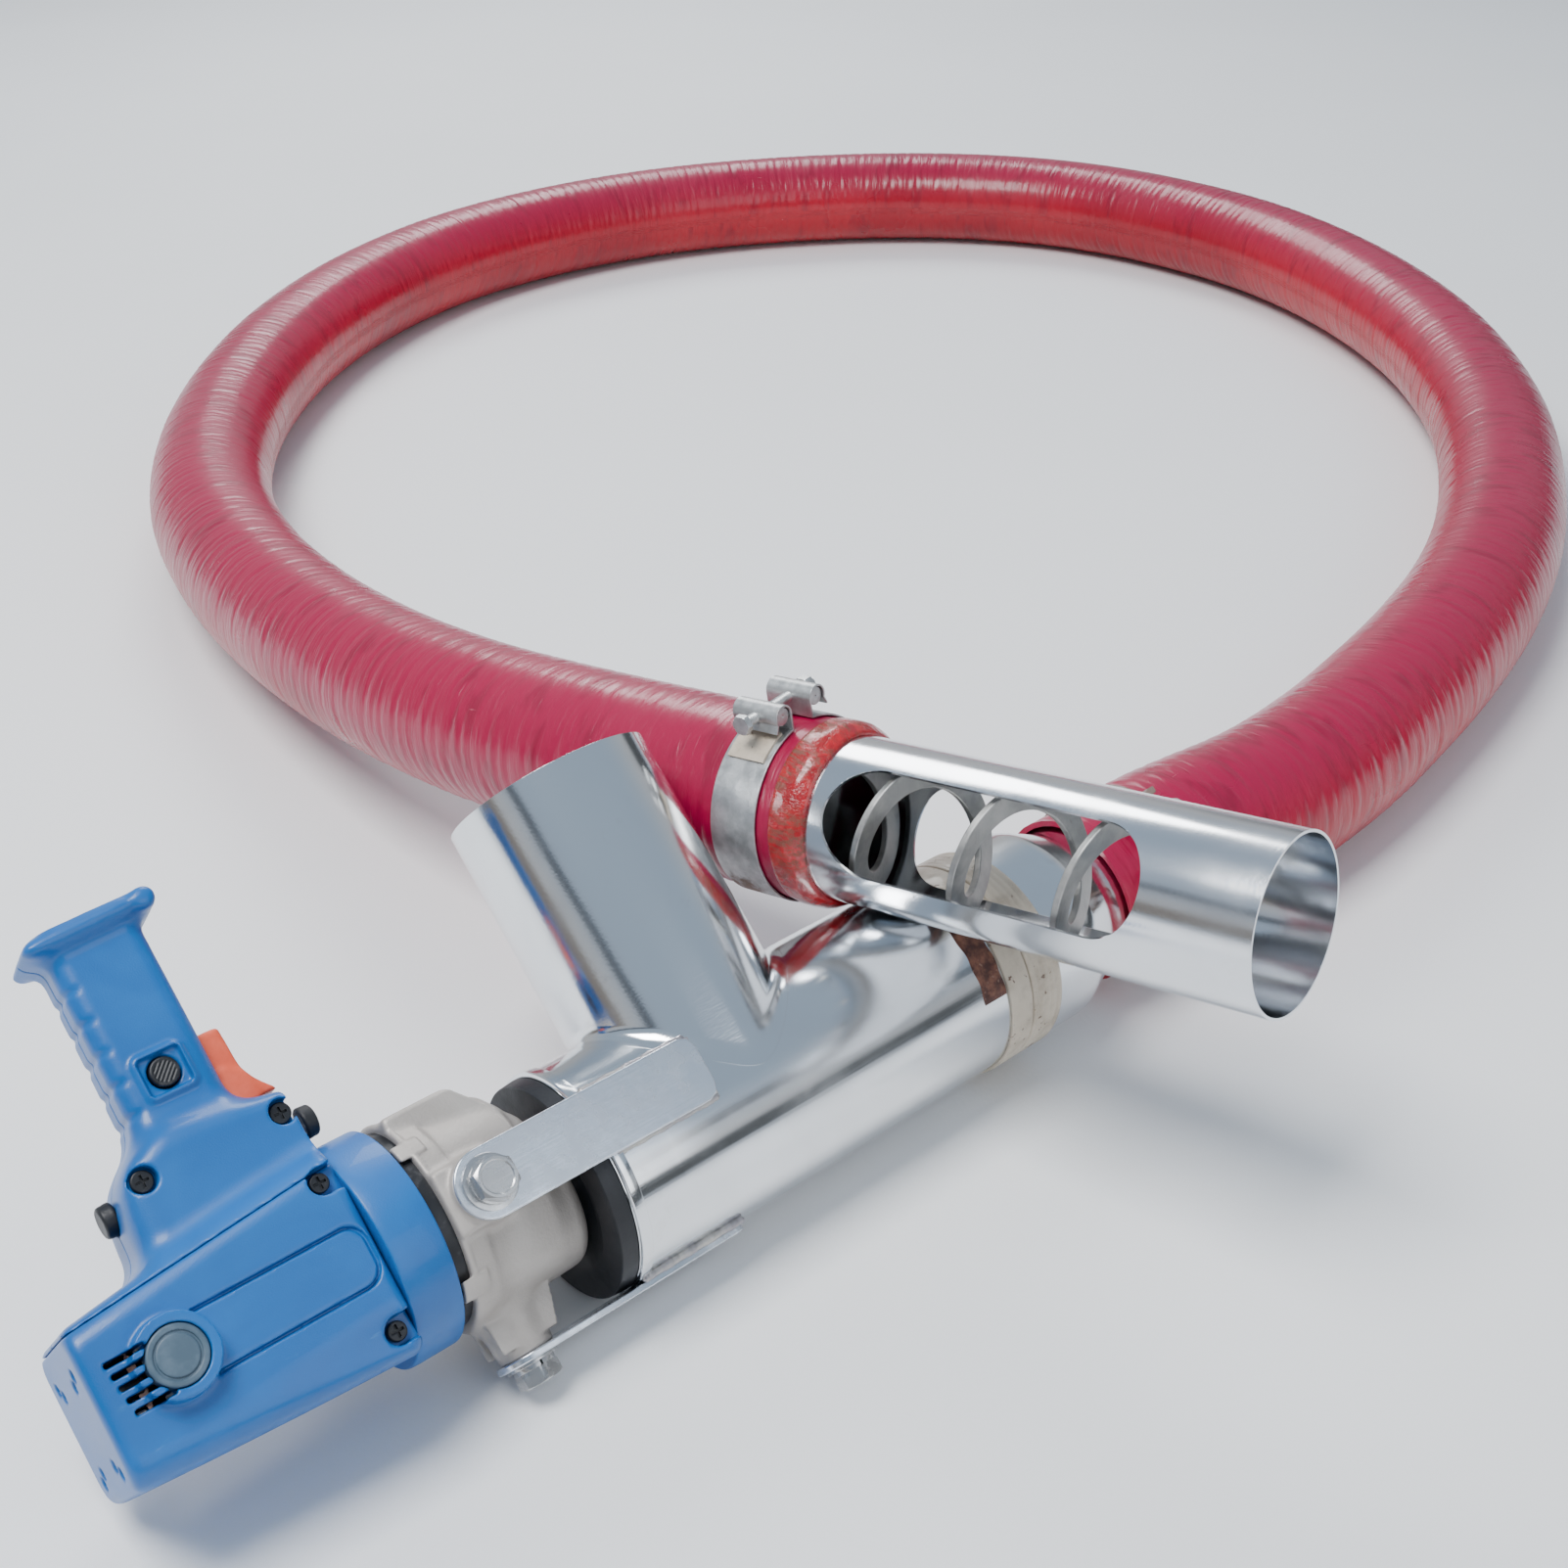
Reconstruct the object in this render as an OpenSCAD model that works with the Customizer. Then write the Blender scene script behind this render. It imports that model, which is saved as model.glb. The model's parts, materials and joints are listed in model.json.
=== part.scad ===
// Portable flexible grain auger: an electric drill turns a shaftless steel
// spiral that runs through a discharge head, a long hose and a slotted intake
// tube. Millimetres, +Z up. The origin is on the ground, under the middle of
// the drill and its discharge head. +X runs along the head, away from the drill.

/* [Discharge head] */
// Outside diameter of the main tube, which also lies on the ground
head_od = 114; // [90:0.5:140]
// Outside diameter of the discharge spout
spout_od = 112; // [80:0.5:114]
// Wall of the steel tubes
tube_wall = 1.5; // [1:0.1:3]
// Main tube from the spout's centre line to the drill end
head_back = 95; // [80:1:130]
// Main tube from the spout's centre line to the coupling
head_front = 167; // [130:1:260]
// Spout from the main tube's axis to its mouth
spout_len = 183; // [130:1:260]
// Length of the sized end that a bag or a chute slips onto
spout_end_len = 45; // [20:1:50]
// How much smaller than its sized end the rest of the spout is, on the radius
spout_end_step = 0.6; // [0.5:0.05:1]
// Spout's lift above the horizontal
spout_lift = 42; // [20:1:60]
// Width of the two straps that carry the drill
strap_w = 33; // [24:1:40]
// Thickness of the straps
strap_t = 3.5; // [2:0.1:6]
// Length of each strap from its bolt to its free end
strap_len = 122; // [100:1:160]

/* [Hose and intake] */
// Outside diameter of the hose
hose_od = 100; // [94:0.5:112]
// Wall of the hose
hose_wall = 3.6; // [2:0.1:5]
// Outside diameter of the intake tube and of the spigot that the hose sits on
intake_od = 89; // [76:0.5:90]
// Intake tube from its open mouth to the end inside the hose
intake_len = 330; // [300:1:420]
// Length of each intake window
window_len = 182; // [100:1:200]
// Angle that each window takes out of the tube's wall
window_angle = 79; // [40:1:100]
// Plain tube between the mouth and the windows
mouth_len = 58; // [40:1:80]

/* [Spiral] */
// Outside diameter of the steel spiral
spiral_od = 76; // [60:0.5:78]
// Width of the spiral's flat bar, measured along the radius
spiral_bar = 13; // [8:0.5:16]
// Thickness of the spiral's flat bar
spiral_t = 4; // [3:0.1:6]
// Distance from turn to turn
spiral_pitch = 60; // [45:1:90]

/* [Drill] */
// Motor axis above the spindle axis, towards the handle
motor_offset = 17; // [14:0.5:20]
// Diameter of the ring at the front of the motor housing
ring_d = 108; // [100:1:120]
// Length of the motor housing behind that ring
motor_len = 130; // [120:1:160]
// Height of the motor housing at its rear
motor_rear_h = 72; // [66:1:84]
// Depth of the handle's grip, front to back
grip_depth = 46; // [40:1:56]
// Thickness of the handle's grip, side to side
grip_t = 40; // [34:1:48]
// End of the handle above the spindle axis
grip_top = 211; // [190:1:240]
// Travel of the trigger
trigger_travel = 4; // [2:0.5:6]
// Travel of the lock button
lock_travel = 3; // [1:0.5:4]
// Wall of the plastic shells
shell_wall = 3; // [2:0.25:4]

/* [Gears] */
// Teeth of the motor pinion
pinion_teeth = 8; // [8:1:10]
// Teeth of the intermediate gear
inter_teeth = 32; // [28:1:34]
// Module of the first gear pair
first_module = 1.25; // [1:0.05:1.4]
// Teeth of the intermediate pinion
second_pinion_teeth = 10; // [9:1:12]
// Teeth of the output gear
output_teeth = 34; // [30:1:36]
// Module of the second gear pair
second_module = 1.5; // [1.25:0.05:1.6]

/* [Fits] */
// Gap between parts that turn or slide past each other
run_gap = 0.3; // [0.2:0.05:0.8]
// Radial clearance of a shaft in its bearing
bearing_gap = 0.04; // [0.02:0.01:0.08]
// Gap between parts that lie against each other
seat_gap = 0.1; // [0.05:0.05:0.3]

/* [Hidden] */
$fn = 48;
eps = 0.01;

// Tubes
head_r = head_od / 2;
spout_r = spout_od / 2;
spout_body_r = spout_r - spout_end_step;
intake_r = intake_od / 2;
spiral_r = spiral_od / 2;
spiral_in = spiral_r - spiral_bar;
hose_r = hose_od / 2;

// Where the main tube and the spout meet, seen from above
tee_x = 0;
tee_y = -54;

// Couplings at the far end of the main tube
band_w = 16;
band_t = 1.6;
clip_band_w = 22;
joint_gap = 0.6;
gasket_w = 16;
gasket_from = 150;
gasket_arc = 58;
gasket_t = 1.1;
connector_x = head_front + joint_gap;
connector_plain = 54;
cone_len = 28;
spigot_x = connector_x + connector_plain + cone_len;
spigot_len = 85;
hose_x = spigot_x + 9;

// Seal cap and drive at the drill end of the main tube
cap_t = 9;
cap_plug = 16;
hoop_w = 7;
hoop_t = 1.6;
axis_z = head_r + hoop_t;
spindle_r = 10;
seal_bore = spindle_r + run_gap;
cap_back = head_back + cap_t;
hub_r = spiral_in - 0.4;
hub_len = 46;
hub_x = -head_back + cap_plug + 4;
spindle_end = hub_x + hub_len - 6;
set_screw_r = 4;

// Drill, measured back from the spout's centre line
gearbox_front = -cap_back - 1;
gearbox_back = -172;
plate_t = 6;
ring_front = gearbox_back - plate_t;
ring_w = 26;
ring_r = ring_d / 2;
ring_back = ring_front - ring_w;
motor_back = ring_back - motor_len;
bolt_x = -152;
bolt_r = 6;
hex_af = 19;
boss_r = 16;

// Gears
pressure_angle = 25;
addendum = 0.7;
dedendum = 1.0;
backlash = 0.16;
first_distance = (pinion_teeth + inter_teeth) * first_module / 2;
second_distance = (second_pinion_teeth + output_teeth) * second_module / 2;
inter_y = (second_distance ^ 2 - first_distance ^ 2 + motor_offset ^ 2)
    / (2 * motor_offset);
inter_z = -sqrt(second_distance ^ 2 - inter_y ^ 2);
gear_face = 5;
second_face = 14;
output_x = -150;
first_x = output_x - second_face - gear_face - 1;
pinion_over = 0.5;
shaft_r = 5;
inter_shaft_r = 5;

// Motor
core_r = 24;
core_x = -270;
core_len = 48;
stator_r = 37;
air_gap = 1;
commutator_r = 13;
commutator_len = 17;
commutator_x = motor_back + 26;
fan_r = 38;
fan_x = ring_back + 4;
brush_x = commutator_x + commutator_len / 2;
brush_w = 8;
cap_r = 13;
cap_boss_r = 18;
motor_half_z = 48;
motor_rear_y = 12.5;

// Handle
grip_x = -244;
grip_y0 = 100;
flange_t = 11;
flange_len = 64;
flange_w = 50;
shoulder_front = -192;
shoulder_back = -290;
shoulder_top = 104;
shoulder_t = 62;
trigger_w = 16;
trigger_y0 = 103;
trigger_h = 38;
lock_x = -244;
lock_y = 130;
lock_r = 7;
switch_h = 52;
pocket_y = 90;
pocket_x = [-209, -275];
pocket_r = 6;

// Straps and their fasteners
bolt_seat = 0.5;
washer_t = 1.6;
washer_r = 13;
spring_t = 2.4;
spring_r = 10.5;
spring_cut = 1.5;
head_t = 7.5;
bolt_grip = 22;
weld_len = 50;
weld_depth = 14;
weld_inset = 1;

// Inside the gearbox
nose_r = 36;
ear_z = 30;
ear_top = 67;
ear_len = 36;
room_r = 47;
output_room_r = 29;
inter_room_r = 12;
bearing_out_r = 21;
bearing_w = 12;
small_bearing_r = 11;
small_bearing_w = 7;
spindle_tail_r = 6;

// Inside the drill
holder_top = 44;
cap_face = 53;
housing_corner = 12;
screw_r = 2.5;
screw_head_r = 4.5;
plug_r = 8;
plug_y = 84;
switch_t = 22;

// Hose clamps
clamp_turn = -90;
clamp_open = 14;
lug_h = 14;
trunnion_r = 5;
clamp_bolt_r = 3;
clamp_bolt_len = 56;

// Intake tube: it lies across the main tube and dips towards the hose
cross_x = 132;
mouth_to_cross = 213;
intake_turn = 11;
intake_dip = 8.5;
rest_gap = 0.3;
window_centre = -148;
tilt = cos(intake_turn) * cos(intake_dip);
cross_z = axis_z + (head_r + intake_r + rest_gap) * norm([sin(intake_dip), tilt]) / tilt;
to_hose = [-sin(intake_turn) * cos(intake_dip), tilt, -sin(intake_dip)];
hose_on_intake = 256;
clamp_s = 277;
clamp_w = 30;
clamp_t = 1.2;
clamp_gap = 0.2;
wrap_len = 20;
wrap_t = 1.2;
wrap_lead = 7;
discharge_clamp_x = hose_x + 24;

function intake_point(s) = [tee_x + cross_x, tee_y, cross_z]
    + (s - mouth_to_cross) * to_hose;

// Route of the hose's centre line. The points stay as they were laid out by
// hand; only the two ends take their place from the tubes that they sit on.
hose_loop = [
    [430, -57, 54], [510, -50, 52], [590, -35, 51], [680, -14, 51],
    [780, 18, 51], [880, 63, 51], [980, 123, 51], [1075, 194, 51],
    [1160, 277, 51], [1232, 367, 51], [1290, 465, 51], [1332, 565, 51],
    [1357, 665, 51], [1363, 765, 51], [1352, 865, 51], [1320, 960, 51],
    [1262, 1050, 51], [1185, 1127, 51], [1095, 1190, 51], [1000, 1237, 51],
    [900, 1266, 51], [795, 1276, 51], [690, 1267, 51], [590, 1237, 51],
    [490, 1187, 51], [390, 1115, 51], [295, 1020, 52], [213, 910, 55],
    [150, 790, 59], [110, 660, 66], [87, 530, 77], [77, 405, 91],
    [77, 290, 108], [87, 190, 124]
];
hose_route = concat(
    [for (x = [0, 80]) [tee_x + hose_x + x, tee_y, axis_z]],
    hose_loop,
    [for (s = [clamp_s + clamp_w + 40, hose_on_intake]) intake_point(s)]
);
hose_legs = len(hose_route) - 1;
rings_per_leg = 2;
hose_sides = 12;

// A point of the smooth curve through the route, and its direction there
function route(i) =
    i < 0 ? 2 * hose_route[0] - hose_route[1]
    : i > hose_legs ? 2 * hose_route[hose_legs] - hose_route[hose_legs - 1]
    : hose_route[i];
function curve(i, t) = let (a = route(i - 1), b = route(i), c = route(i + 1), d = route(i + 2))
    0.5 * (2 * b + (c - a) * t + (2 * a - 5 * b + 4 * c - d) * t ^ 2
        + (3 * b - a - 3 * c + d) * t ^ 3);
function heading(i, t) = let (a = route(i - 1), b = route(i), c = route(i + 1), d = route(i + 2))
    0.5 * (c - a + 2 * (2 * a - 5 * b + 4 * c - d) * t
        + 3 * (3 * b - a - 3 * c + d) * t ^ 2);
function leg(i) = norm(route(i + 1) - route(i));
function run(i) = i == 0 ? 0 : run(i - 1) + leg(i - 1);
function unit(v) = v / norm(v);
// A point at radius r and angle a around a centre line that heads along h
function around(c, h, r, a) = let (side = unit(cross([0, 0, 1], h)), up = unit(cross(h, side)))
    c + r * (cos(a) * side + sin(a) * up);

// The flat bar of the spiral at centre c, heading h and angle a: four corners
function bar(c, h, a) = [
    for (k = [[spiral_in, -1], [spiral_r, -1], [spiral_r, 1], [spiral_in, 1]])
        around(c, h, k[0], a) + k[1] * spiral_t / 2 * unit(h)
];
function turn(s) = 360 * s / spiral_pitch;
first_leg = 1;
step = 5;
fine_step = 2.5;
// How far the spiral has run when it reaches the intake tube
intake_run = run(hose_legs);
// The three spirals lap face to face, each one bar's thickness further on
lap = spiral_t + run_gap;

// ---- Frames -------------------------------------------------------------

// The head and the drill: X along the main tube, Y along the spout
module in_head() translate([tee_x, tee_y, axis_z]) rotate([spout_lift, 0, 0]) children();
// The intake tube: Z from its mouth towards the hose, -Y upwards
module in_intake()
    translate([tee_x + cross_x, tee_y, cross_z])
        rotate([-90 - intake_dip, 0, intake_turn])
            translate([0, 0, -mouth_to_cross]) children();
module along_x(x, y = 0, z = 0) translate([x, y, z]) rotate([0, 90, 0]) children();
module along_y(x, y, z = 0) translate([x, y, z]) rotate([-90, 0, 0]) children();
module ring(r, bore, len) difference() {
    cylinder(r = r, h = len);
    translate([0, 0, -1]) cylinder(r = bore, h = len + 2);
}
module hexagon(af, h) cylinder(r = af / sqrt(3), h = h, $fn = 6);

// ---- Discharge head -----------------------------------------------------

module head_tube() color("lightsteelblue") in_head() difference() {
    along_x(-head_back) ring(head_r, head_r - tube_wall, head_back + head_front);
    along_y(0, 0) cylinder(r = spout_body_r - tube_wall, h = head_r + 5);
}

module outlet_spout() color("lightsteelblue") in_head() difference() {
    union() {
        along_y(0, 1) cylinder(r = spout_body_r, h = spout_len - spout_end_len - 1 + eps);
        along_y(0, spout_len - spout_end_len) cylinder(r = spout_r, h = spout_end_len);
    }
    along_y(0, 0) cylinder(r = spout_body_r - tube_wall, h = spout_len + 1);
    along_x(-head_back) cylinder(r = head_r, h = head_back + head_front);
}

module drive_end_hoop() color("silver") in_head() difference() {
    along_x(-head_back) ring(head_r + hoop_t, head_r + eps, hoop_w);
    at_straps() translate([0, -strap_w / 2 - 1, -6]) cube([strap_len, strap_w + 2, 12]);
}

module seal_cap() color("dimgray") in_head() difference() {
    union() {
        along_x(-cap_back) cylinder(r = head_r, h = cap_t - seat_gap);
        along_x(-cap_back) cylinder(r = head_r - tube_wall - seat_gap, h = cap_t + cap_plug);
    }
    along_x(-cap_back - 1) cylinder(r = seal_bore, h = cap_t + cap_plug + 2);
}

module coupling_gasket() color("saddlebrown") in_head()
    along_x(head_front - band_w - gasket_w - 1) rotate([0, 0, gasket_from])
        rotate_extrude(angle = gasket_arc)
            translate([head_r + eps, 0]) square([gasket_t, gasket_w]);

module coupling_band() color("tan") in_head()
    along_x(head_front - band_w) ring(head_r + band_t, head_r + eps, band_w);

module clip_band() color("wheat") in_head()
    along_x(connector_x) ring(head_r + band_t, head_r + eps, clip_band_w);

module hose_connector() color("silver") in_head() along_x(connector_x)
    rotate_extrude() polygon([
        [head_r - tube_wall, 0], [head_r, 0], [head_r, connector_plain],
        [intake_r, connector_plain + cone_len],
        [intake_r, connector_plain + cone_len + spigot_len],
        [intake_r - tube_wall, connector_plain + cone_len + spigot_len],
        [intake_r - tube_wall, connector_plain + cone_len],
        [head_r - tube_wall, connector_plain]
    ]);

// ---- Straps -------------------------------------------------------------

// One strap in its own plane: its bolt hole at the origin, its end at +X
module strap() linear_extrude(strap_t) difference() {
    union() {
        circle(r = strap_w / 2);
        translate([0, -strap_w / 2]) square([strap_len, strap_w]);
    }
    circle(r = bolt_r + run_gap);
}
module at_upper_strap() translate([bolt_x, motor_offset, head_r + bolt_seat]) children();
module at_lower_strap()
    translate([bolt_x, -head_r - bolt_seat, 0]) rotate([90, 0, 0]) children();
module at_straps() {
    at_upper_strap() children();
    at_lower_strap() children();
}
module upper_strap() color("gainsboro") in_head() at_upper_strap() strap();
module lower_strap() color("gainsboro") in_head() at_lower_strap() strap();

// Weld metal between each strap's free end and the round tube under it
module strap_welds() color("darkgray") in_head() difference() {
    at_straps() translate([strap_len - weld_len, -strap_w / 2 + weld_inset, -weld_depth])
        cube([weld_len, strap_w - 2 * weld_inset, weld_depth - eps]);
    along_x(-head_back) cylinder(r = head_r + eps, h = head_back + head_front, $fn = 180);
}

module strap_bolts() color("silver") in_head() at_straps() {
    translate([0, 0, strap_t + washer_t + spring_t]) hexagon(hex_af, head_t);
    translate([0, 0, -bolt_grip])
        cylinder(r = bolt_r, h = bolt_grip + strap_t + washer_t + spring_t);
}
module spring_washers() color("silver") in_head() at_straps()
    translate([0, 0, strap_t + washer_t]) difference() {
        ring(spring_r, bolt_r + run_gap, spring_t);
        translate([0, -spring_cut / 2, -1]) cube([spring_r + 1, spring_cut, spring_t + 2]);
    }
module flat_washers() color("silver") in_head() at_straps()
    translate([0, 0, strap_t]) ring(washer_r, bolt_r + run_gap, washer_t);

// ---- Gearbox ------------------------------------------------------------

// Where the gears and shafts run inside the casting
module gear_room() {
    along_x(gearbox_back - 1, motor_offset)
        cylinder(r = room_r, h = first_x + gear_face + 2 - gearbox_back);
    along_x(gearbox_back - 1) cylinder(r = output_room_r, h = output_x + 2 - gearbox_back);
    along_x(gearbox_back - 1, inter_y, inter_z)
        cylinder(r = inter_room_r, h = output_x + 2 - gearbox_back);
}

module gearbox() color("darkgray") in_head() difference() {
    union() {
        along_x(gearbox_back, motor_offset)
            cylinder(r = ring_r - 3, h = 14);
        along_x(gearbox_back, motor_offset)
            cylinder(r1 = ring_r - 4, r2 = nose_r + 7, h = gearbox_front - 14 - gearbox_back);
        along_x(gearbox_back) cylinder(r = nose_r, h = gearbox_front - gearbox_back);
        // upper edge of the casting
        linear_extrude(2 * ear_z, center = true)
            polygon([
                [gearbox_back, ear_top], [gearbox_back + ear_len, ear_top],
                [gearbox_front - 4, nose_r - 2], [gearbox_back, nose_r - 2]
            ]);
        // bosses that the straps bolt to
        translate([bolt_x, motor_offset, 0]) cylinder(r = boss_r, h = head_r + bolt_seat);
        translate([gearbox_back, motor_offset - boss_r, 0])
            cube([bolt_x - gearbox_back + boss_r - 4, 2 * boss_r, head_r + bolt_seat - 4]);
        along_y(bolt_x, -head_r - bolt_seat) cylinder(r1 = boss_r - 2, r2 = boss_r + 3, h = 40);
        for (side = [-1, 1])
            translate([0, 0, side * 9 - 2]) linear_extrude(4)
                polygon([
                    [gearbox_back, -22], [bolt_x - 10, -head_r + 6],
                    [bolt_x + 10, -head_r + 6], [gearbox_front - 8, -22]
                ]);
    }
    gear_room();
    along_x(first_x, 0) cylinder(r = bearing_out_r, h = gearbox_front - first_x + 1);
    at_straps() translate([0, 0, -bolt_grip - 1]) cylinder(r = bolt_r + eps, h = bolt_grip + 2);
}

// Inner cover between the motor and the gears; it carries three bearings
module gear_plate() color("black") in_head() difference() {
    along_x(ring_front + seat_gap, motor_offset) cylinder(r = ring_r - 5, h = plate_t - 2 * seat_gap);
    along_x(ring_front - 1, motor_offset) cylinder(r = small_bearing_r, h = plate_t + 2);
    along_x(ring_front - 1, inter_y, inter_z) cylinder(r = small_bearing_r, h = plate_t + 2);
    along_x(ring_front - 1) cylinder(r = small_bearing_r, h = plate_t + 2);
}

// A sealed ball bearing: a ring with a shield groove in each face
module bearing(r, bore, w) difference() {
    ring(r, bore, w);
    for (z = [-1, w - 0.6])
        translate([0, 0, z]) ring(r - (r - bore) * 0.3, bore + (r - bore) * 0.3, 1.6);
}
module bearings() color("silver") in_head() {
    along_x(ring_front + seat_gap, motor_offset)
        bearing(small_bearing_r - seat_gap, shaft_r + bearing_gap, plate_t - 2 * seat_gap);
    along_x(ring_front + seat_gap, inter_y, inter_z)
        bearing(small_bearing_r - seat_gap, inter_shaft_r + bearing_gap, plate_t - 2 * seat_gap);
    along_x(ring_front + seat_gap)
        bearing(small_bearing_r - seat_gap, spindle_tail_r + bearing_gap, plate_t - 2 * seat_gap);
    along_x(gearbox_front - bearing_w)
        bearing(bearing_out_r - seat_gap, spindle_r + bearing_gap, bearing_w);
    along_x(motor_back + shell_wall + seat_gap, motor_offset)
        bearing(small_bearing_r - seat_gap, shaft_r + bearing_gap, small_bearing_w);
}

// Involute teeth: half the angle of a tooth at radius r
function roll(a) = tan(a) * 180 / PI - a;
function half_tooth(n, m, r) = let (
        rp = n * m / 2,
        rb = rp * cos(pressure_angle)
    )
    90 / n - backlash / n / m * 180 / PI + roll(pressure_angle) - roll(acos(min(1, rb / r)));
flank_steps = 5;
module gear_outline(n, m) {
    rp = n * m / 2;
    top = rp + addendum * m;
    root = rp - dedendum * m;
    foot = max(root, rp * cos(pressure_angle));
    polygon([
        for (i = [0:n - 1], side = [-1, 1], k = [-1:flank_steps])
            let (
                j = side < 0 ? k : flank_steps - 1 - k,
                r = j < 0 ? root : foot + (top - foot) * j / flank_steps,
                a = 360 * i / n + side * half_tooth(n, m, max(r, foot))
            )
            r * [cos(a), sin(a)]
    ]);
}
module gear(n, m, bore, face, phase) rotate([0, 0, phase]) difference() {
    linear_extrude(face) gear_outline(n, m);
    if (bore > 0) translate([0, 0, -1]) cylinder(r = bore, h = face + 2);
}
// Angle of the line from one shaft to the next, about the X axis as along_x turns it
function mesh_angle(from, to) = atan2(to[0] - from[0], -(to[1] - from[1]));
motor_at = [motor_offset, 0];
inter_at = [inter_y, inter_z];
spindle_at = [0, 0];
first_line = mesh_angle(motor_at, inter_at);
second_line = mesh_angle(inter_at, spindle_at);

module spindle() color("silver") in_head() {
    along_x(ring_front + 1)
        cylinder(r = spindle_tail_r, h = output_x - second_face - 2 - ring_front);
    along_x(output_x - second_face - 1)
        cylinder(r = spindle_r, h = spindle_end - output_x + second_face + 1);
}
module output_gear() color("slategray") in_head() along_x(output_x - second_face)
    gear(output_teeth, second_module, spindle_r, second_face, second_line + 180 + 180 / output_teeth);
module intermediate_shaft() color("silver") in_head() {
    along_x(ring_front + 1, inter_y, inter_z)
        cylinder(r = inter_shaft_r, h = output_x - ring_front - 1);
    along_x(output_x - second_face, inter_y, inter_z) difference() {
        gear(second_pinion_teeth, second_module, 0, second_face, second_line);
        translate([0, 0, -1]) cylinder(r = inter_shaft_r, h = second_face + 2);
    }
}
module intermediate_gear() color("slategray") in_head()
    along_x(first_x, inter_y, inter_z)
        gear(inter_teeth, first_module, inter_shaft_r, gear_face, first_line + 180 + 180 / inter_teeth);

// ---- Drive to the spiral ------------------------------------------------

module drive_coupling() color("gray") in_head() difference() {
    along_x(hub_x) cylinder(r = hub_r, h = hub_len);
    along_x(hub_x - 1) cylinder(r = spindle_r, h = spindle_end - hub_x + 1);
    at_set_screws() cylinder(r = set_screw_r, h = hub_r + 2);
}
module at_set_screws() for (x = [12, 28])
    translate([hub_x + x, 0, 0]) children();
module coupling_screws() color("dimgray") in_head()
    at_set_screws() translate([0, 0, spindle_r]) difference() {
        cylinder(r = set_screw_r - eps, h = hub_r - spindle_r - 1);
        translate([0, 0, hub_r - spindle_r - 4]) hexagon(4, 6);
    }

// The flat bar swept through a list of [centre, heading, angle]
module spiral(stations) {
    corners = [for (s = stations) bar(s[0], s[1], s[2])];
    last = len(stations) - 1;
    polyhedron(
        [for (ring = corners) each ring],
        concat(
            [[0, 1, 2, 3]],
            [
                for (i = [0:last - 1], k = [0:3]) let (a = 4 * i + k, b = 4 * i + (k + 1) % 4)
                    each [[a, a + 4, b], [b, a + 4, b + 4]]
            ],
            [[4 * last + 3, 4 * last + 2, 4 * last + 1, 4 * last]]
        )
    );
}

hose_start_x = tee_x + hose_x;
head_spiral_start = tee_x + hub_x + 8;
head_spiral_end = hose_start_x + leg(0) - lap;
head_steps = ceil((head_spiral_end - head_spiral_start) / fine_step);
head_stations = [
    for (k = [0:head_steps])
        let (x = head_spiral_start + (head_spiral_end - head_spiral_start) * k / head_steps)
            [[x, tee_y, axis_z], [1, 0, 0], turn(x - hose_start_x)]
];
hose_stations = [
    for (i = [first_leg:hose_legs - 2])
        let (n = ceil(leg(i) / step))
        for (j = [0:n - 1])
            [curve(i, j / n), heading(i, j / n), turn(run(i) + leg(i) * j / n - lap)],
    [curve(hose_legs - 2, 1), -to_hose, turn(run(hose_legs - 1) - lap)]
];
intake_from = run(hose_legs - 1) + lap;
intake_to = intake_run + hose_on_intake - mouth_len + spiral_t / 2;
intake_steps = ceil((intake_to - intake_from) / fine_step);
intake_stations = [
    for (k = [0:intake_steps])
        let (s = intake_from + (intake_to - intake_from) * k / intake_steps)
            [intake_point(hose_on_intake + intake_run - s), -to_hose, turn(s - 2 * lap)]
];
module head_spiral() color("gray") spiral(head_stations);
module hose_spiral() color("gray") spiral(hose_stations);
module intake_spiral() color("gray") spiral(intake_stations);

// ---- Motor --------------------------------------------------------------

module at_motor(x) along_x(x, motor_offset) children();
module armature_shaft() color("silver") in_head() {
    at_motor(motor_back + shell_wall + 0.5)
        cylinder(r = shaft_r, h = first_x - pinion_over - motor_back - shell_wall - 0.5);
    at_motor(first_x - pinion_over)
        gear(pinion_teeth, first_module, 0, gear_face + 2 * pinion_over, first_line);
}
slots = 12;
module armature_core() color("dimgray") in_head() at_motor(core_x) difference() {
    ring(core_r, shaft_r, core_len);
    for (i = [0:slots - 1]) rotate([0, 0, 360 * i / slots])
        translate([core_r - 9, -1.5, -1]) cube([12, 3, core_len + 2]);
}
module commutator() color("peru") in_head() at_motor(commutator_x) difference() {
    ring(commutator_r, shaft_r, commutator_len);
    for (i = [0:2 * slots - 1]) rotate([0, 0, 180 * i / slots])
        translate([commutator_r - 2, -0.3, -1]) cube([4, 0.6, commutator_len + 2]);
}
module cooling_fan() color("ivory") in_head() at_motor(fan_x) {
    ring(fan_r, shaft_r, 3);
    for (i = [0:slots - 1]) rotate([0, 0, 360 * i / slots])
        translate([14, -1, 3 - eps]) cube([fan_r - 16, 2, 9]);
}
module stator() color("slategray") in_head() at_motor(core_x) difference() {
    ring(stator_r, core_r + air_gap, core_len);
    for (side = [-1, 1]) translate([-14, side * 31 - 6, -1]) cube([28, 12, core_len + 2]);
}
module field_coils() color("chocolate") in_head() at_motor(core_x)
    for (side = [-1, 1])
        translate([-13, side * 30 - (side > 0 ? 4 : 1), -6]) cube([26, 5, core_len + 12]);

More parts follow.
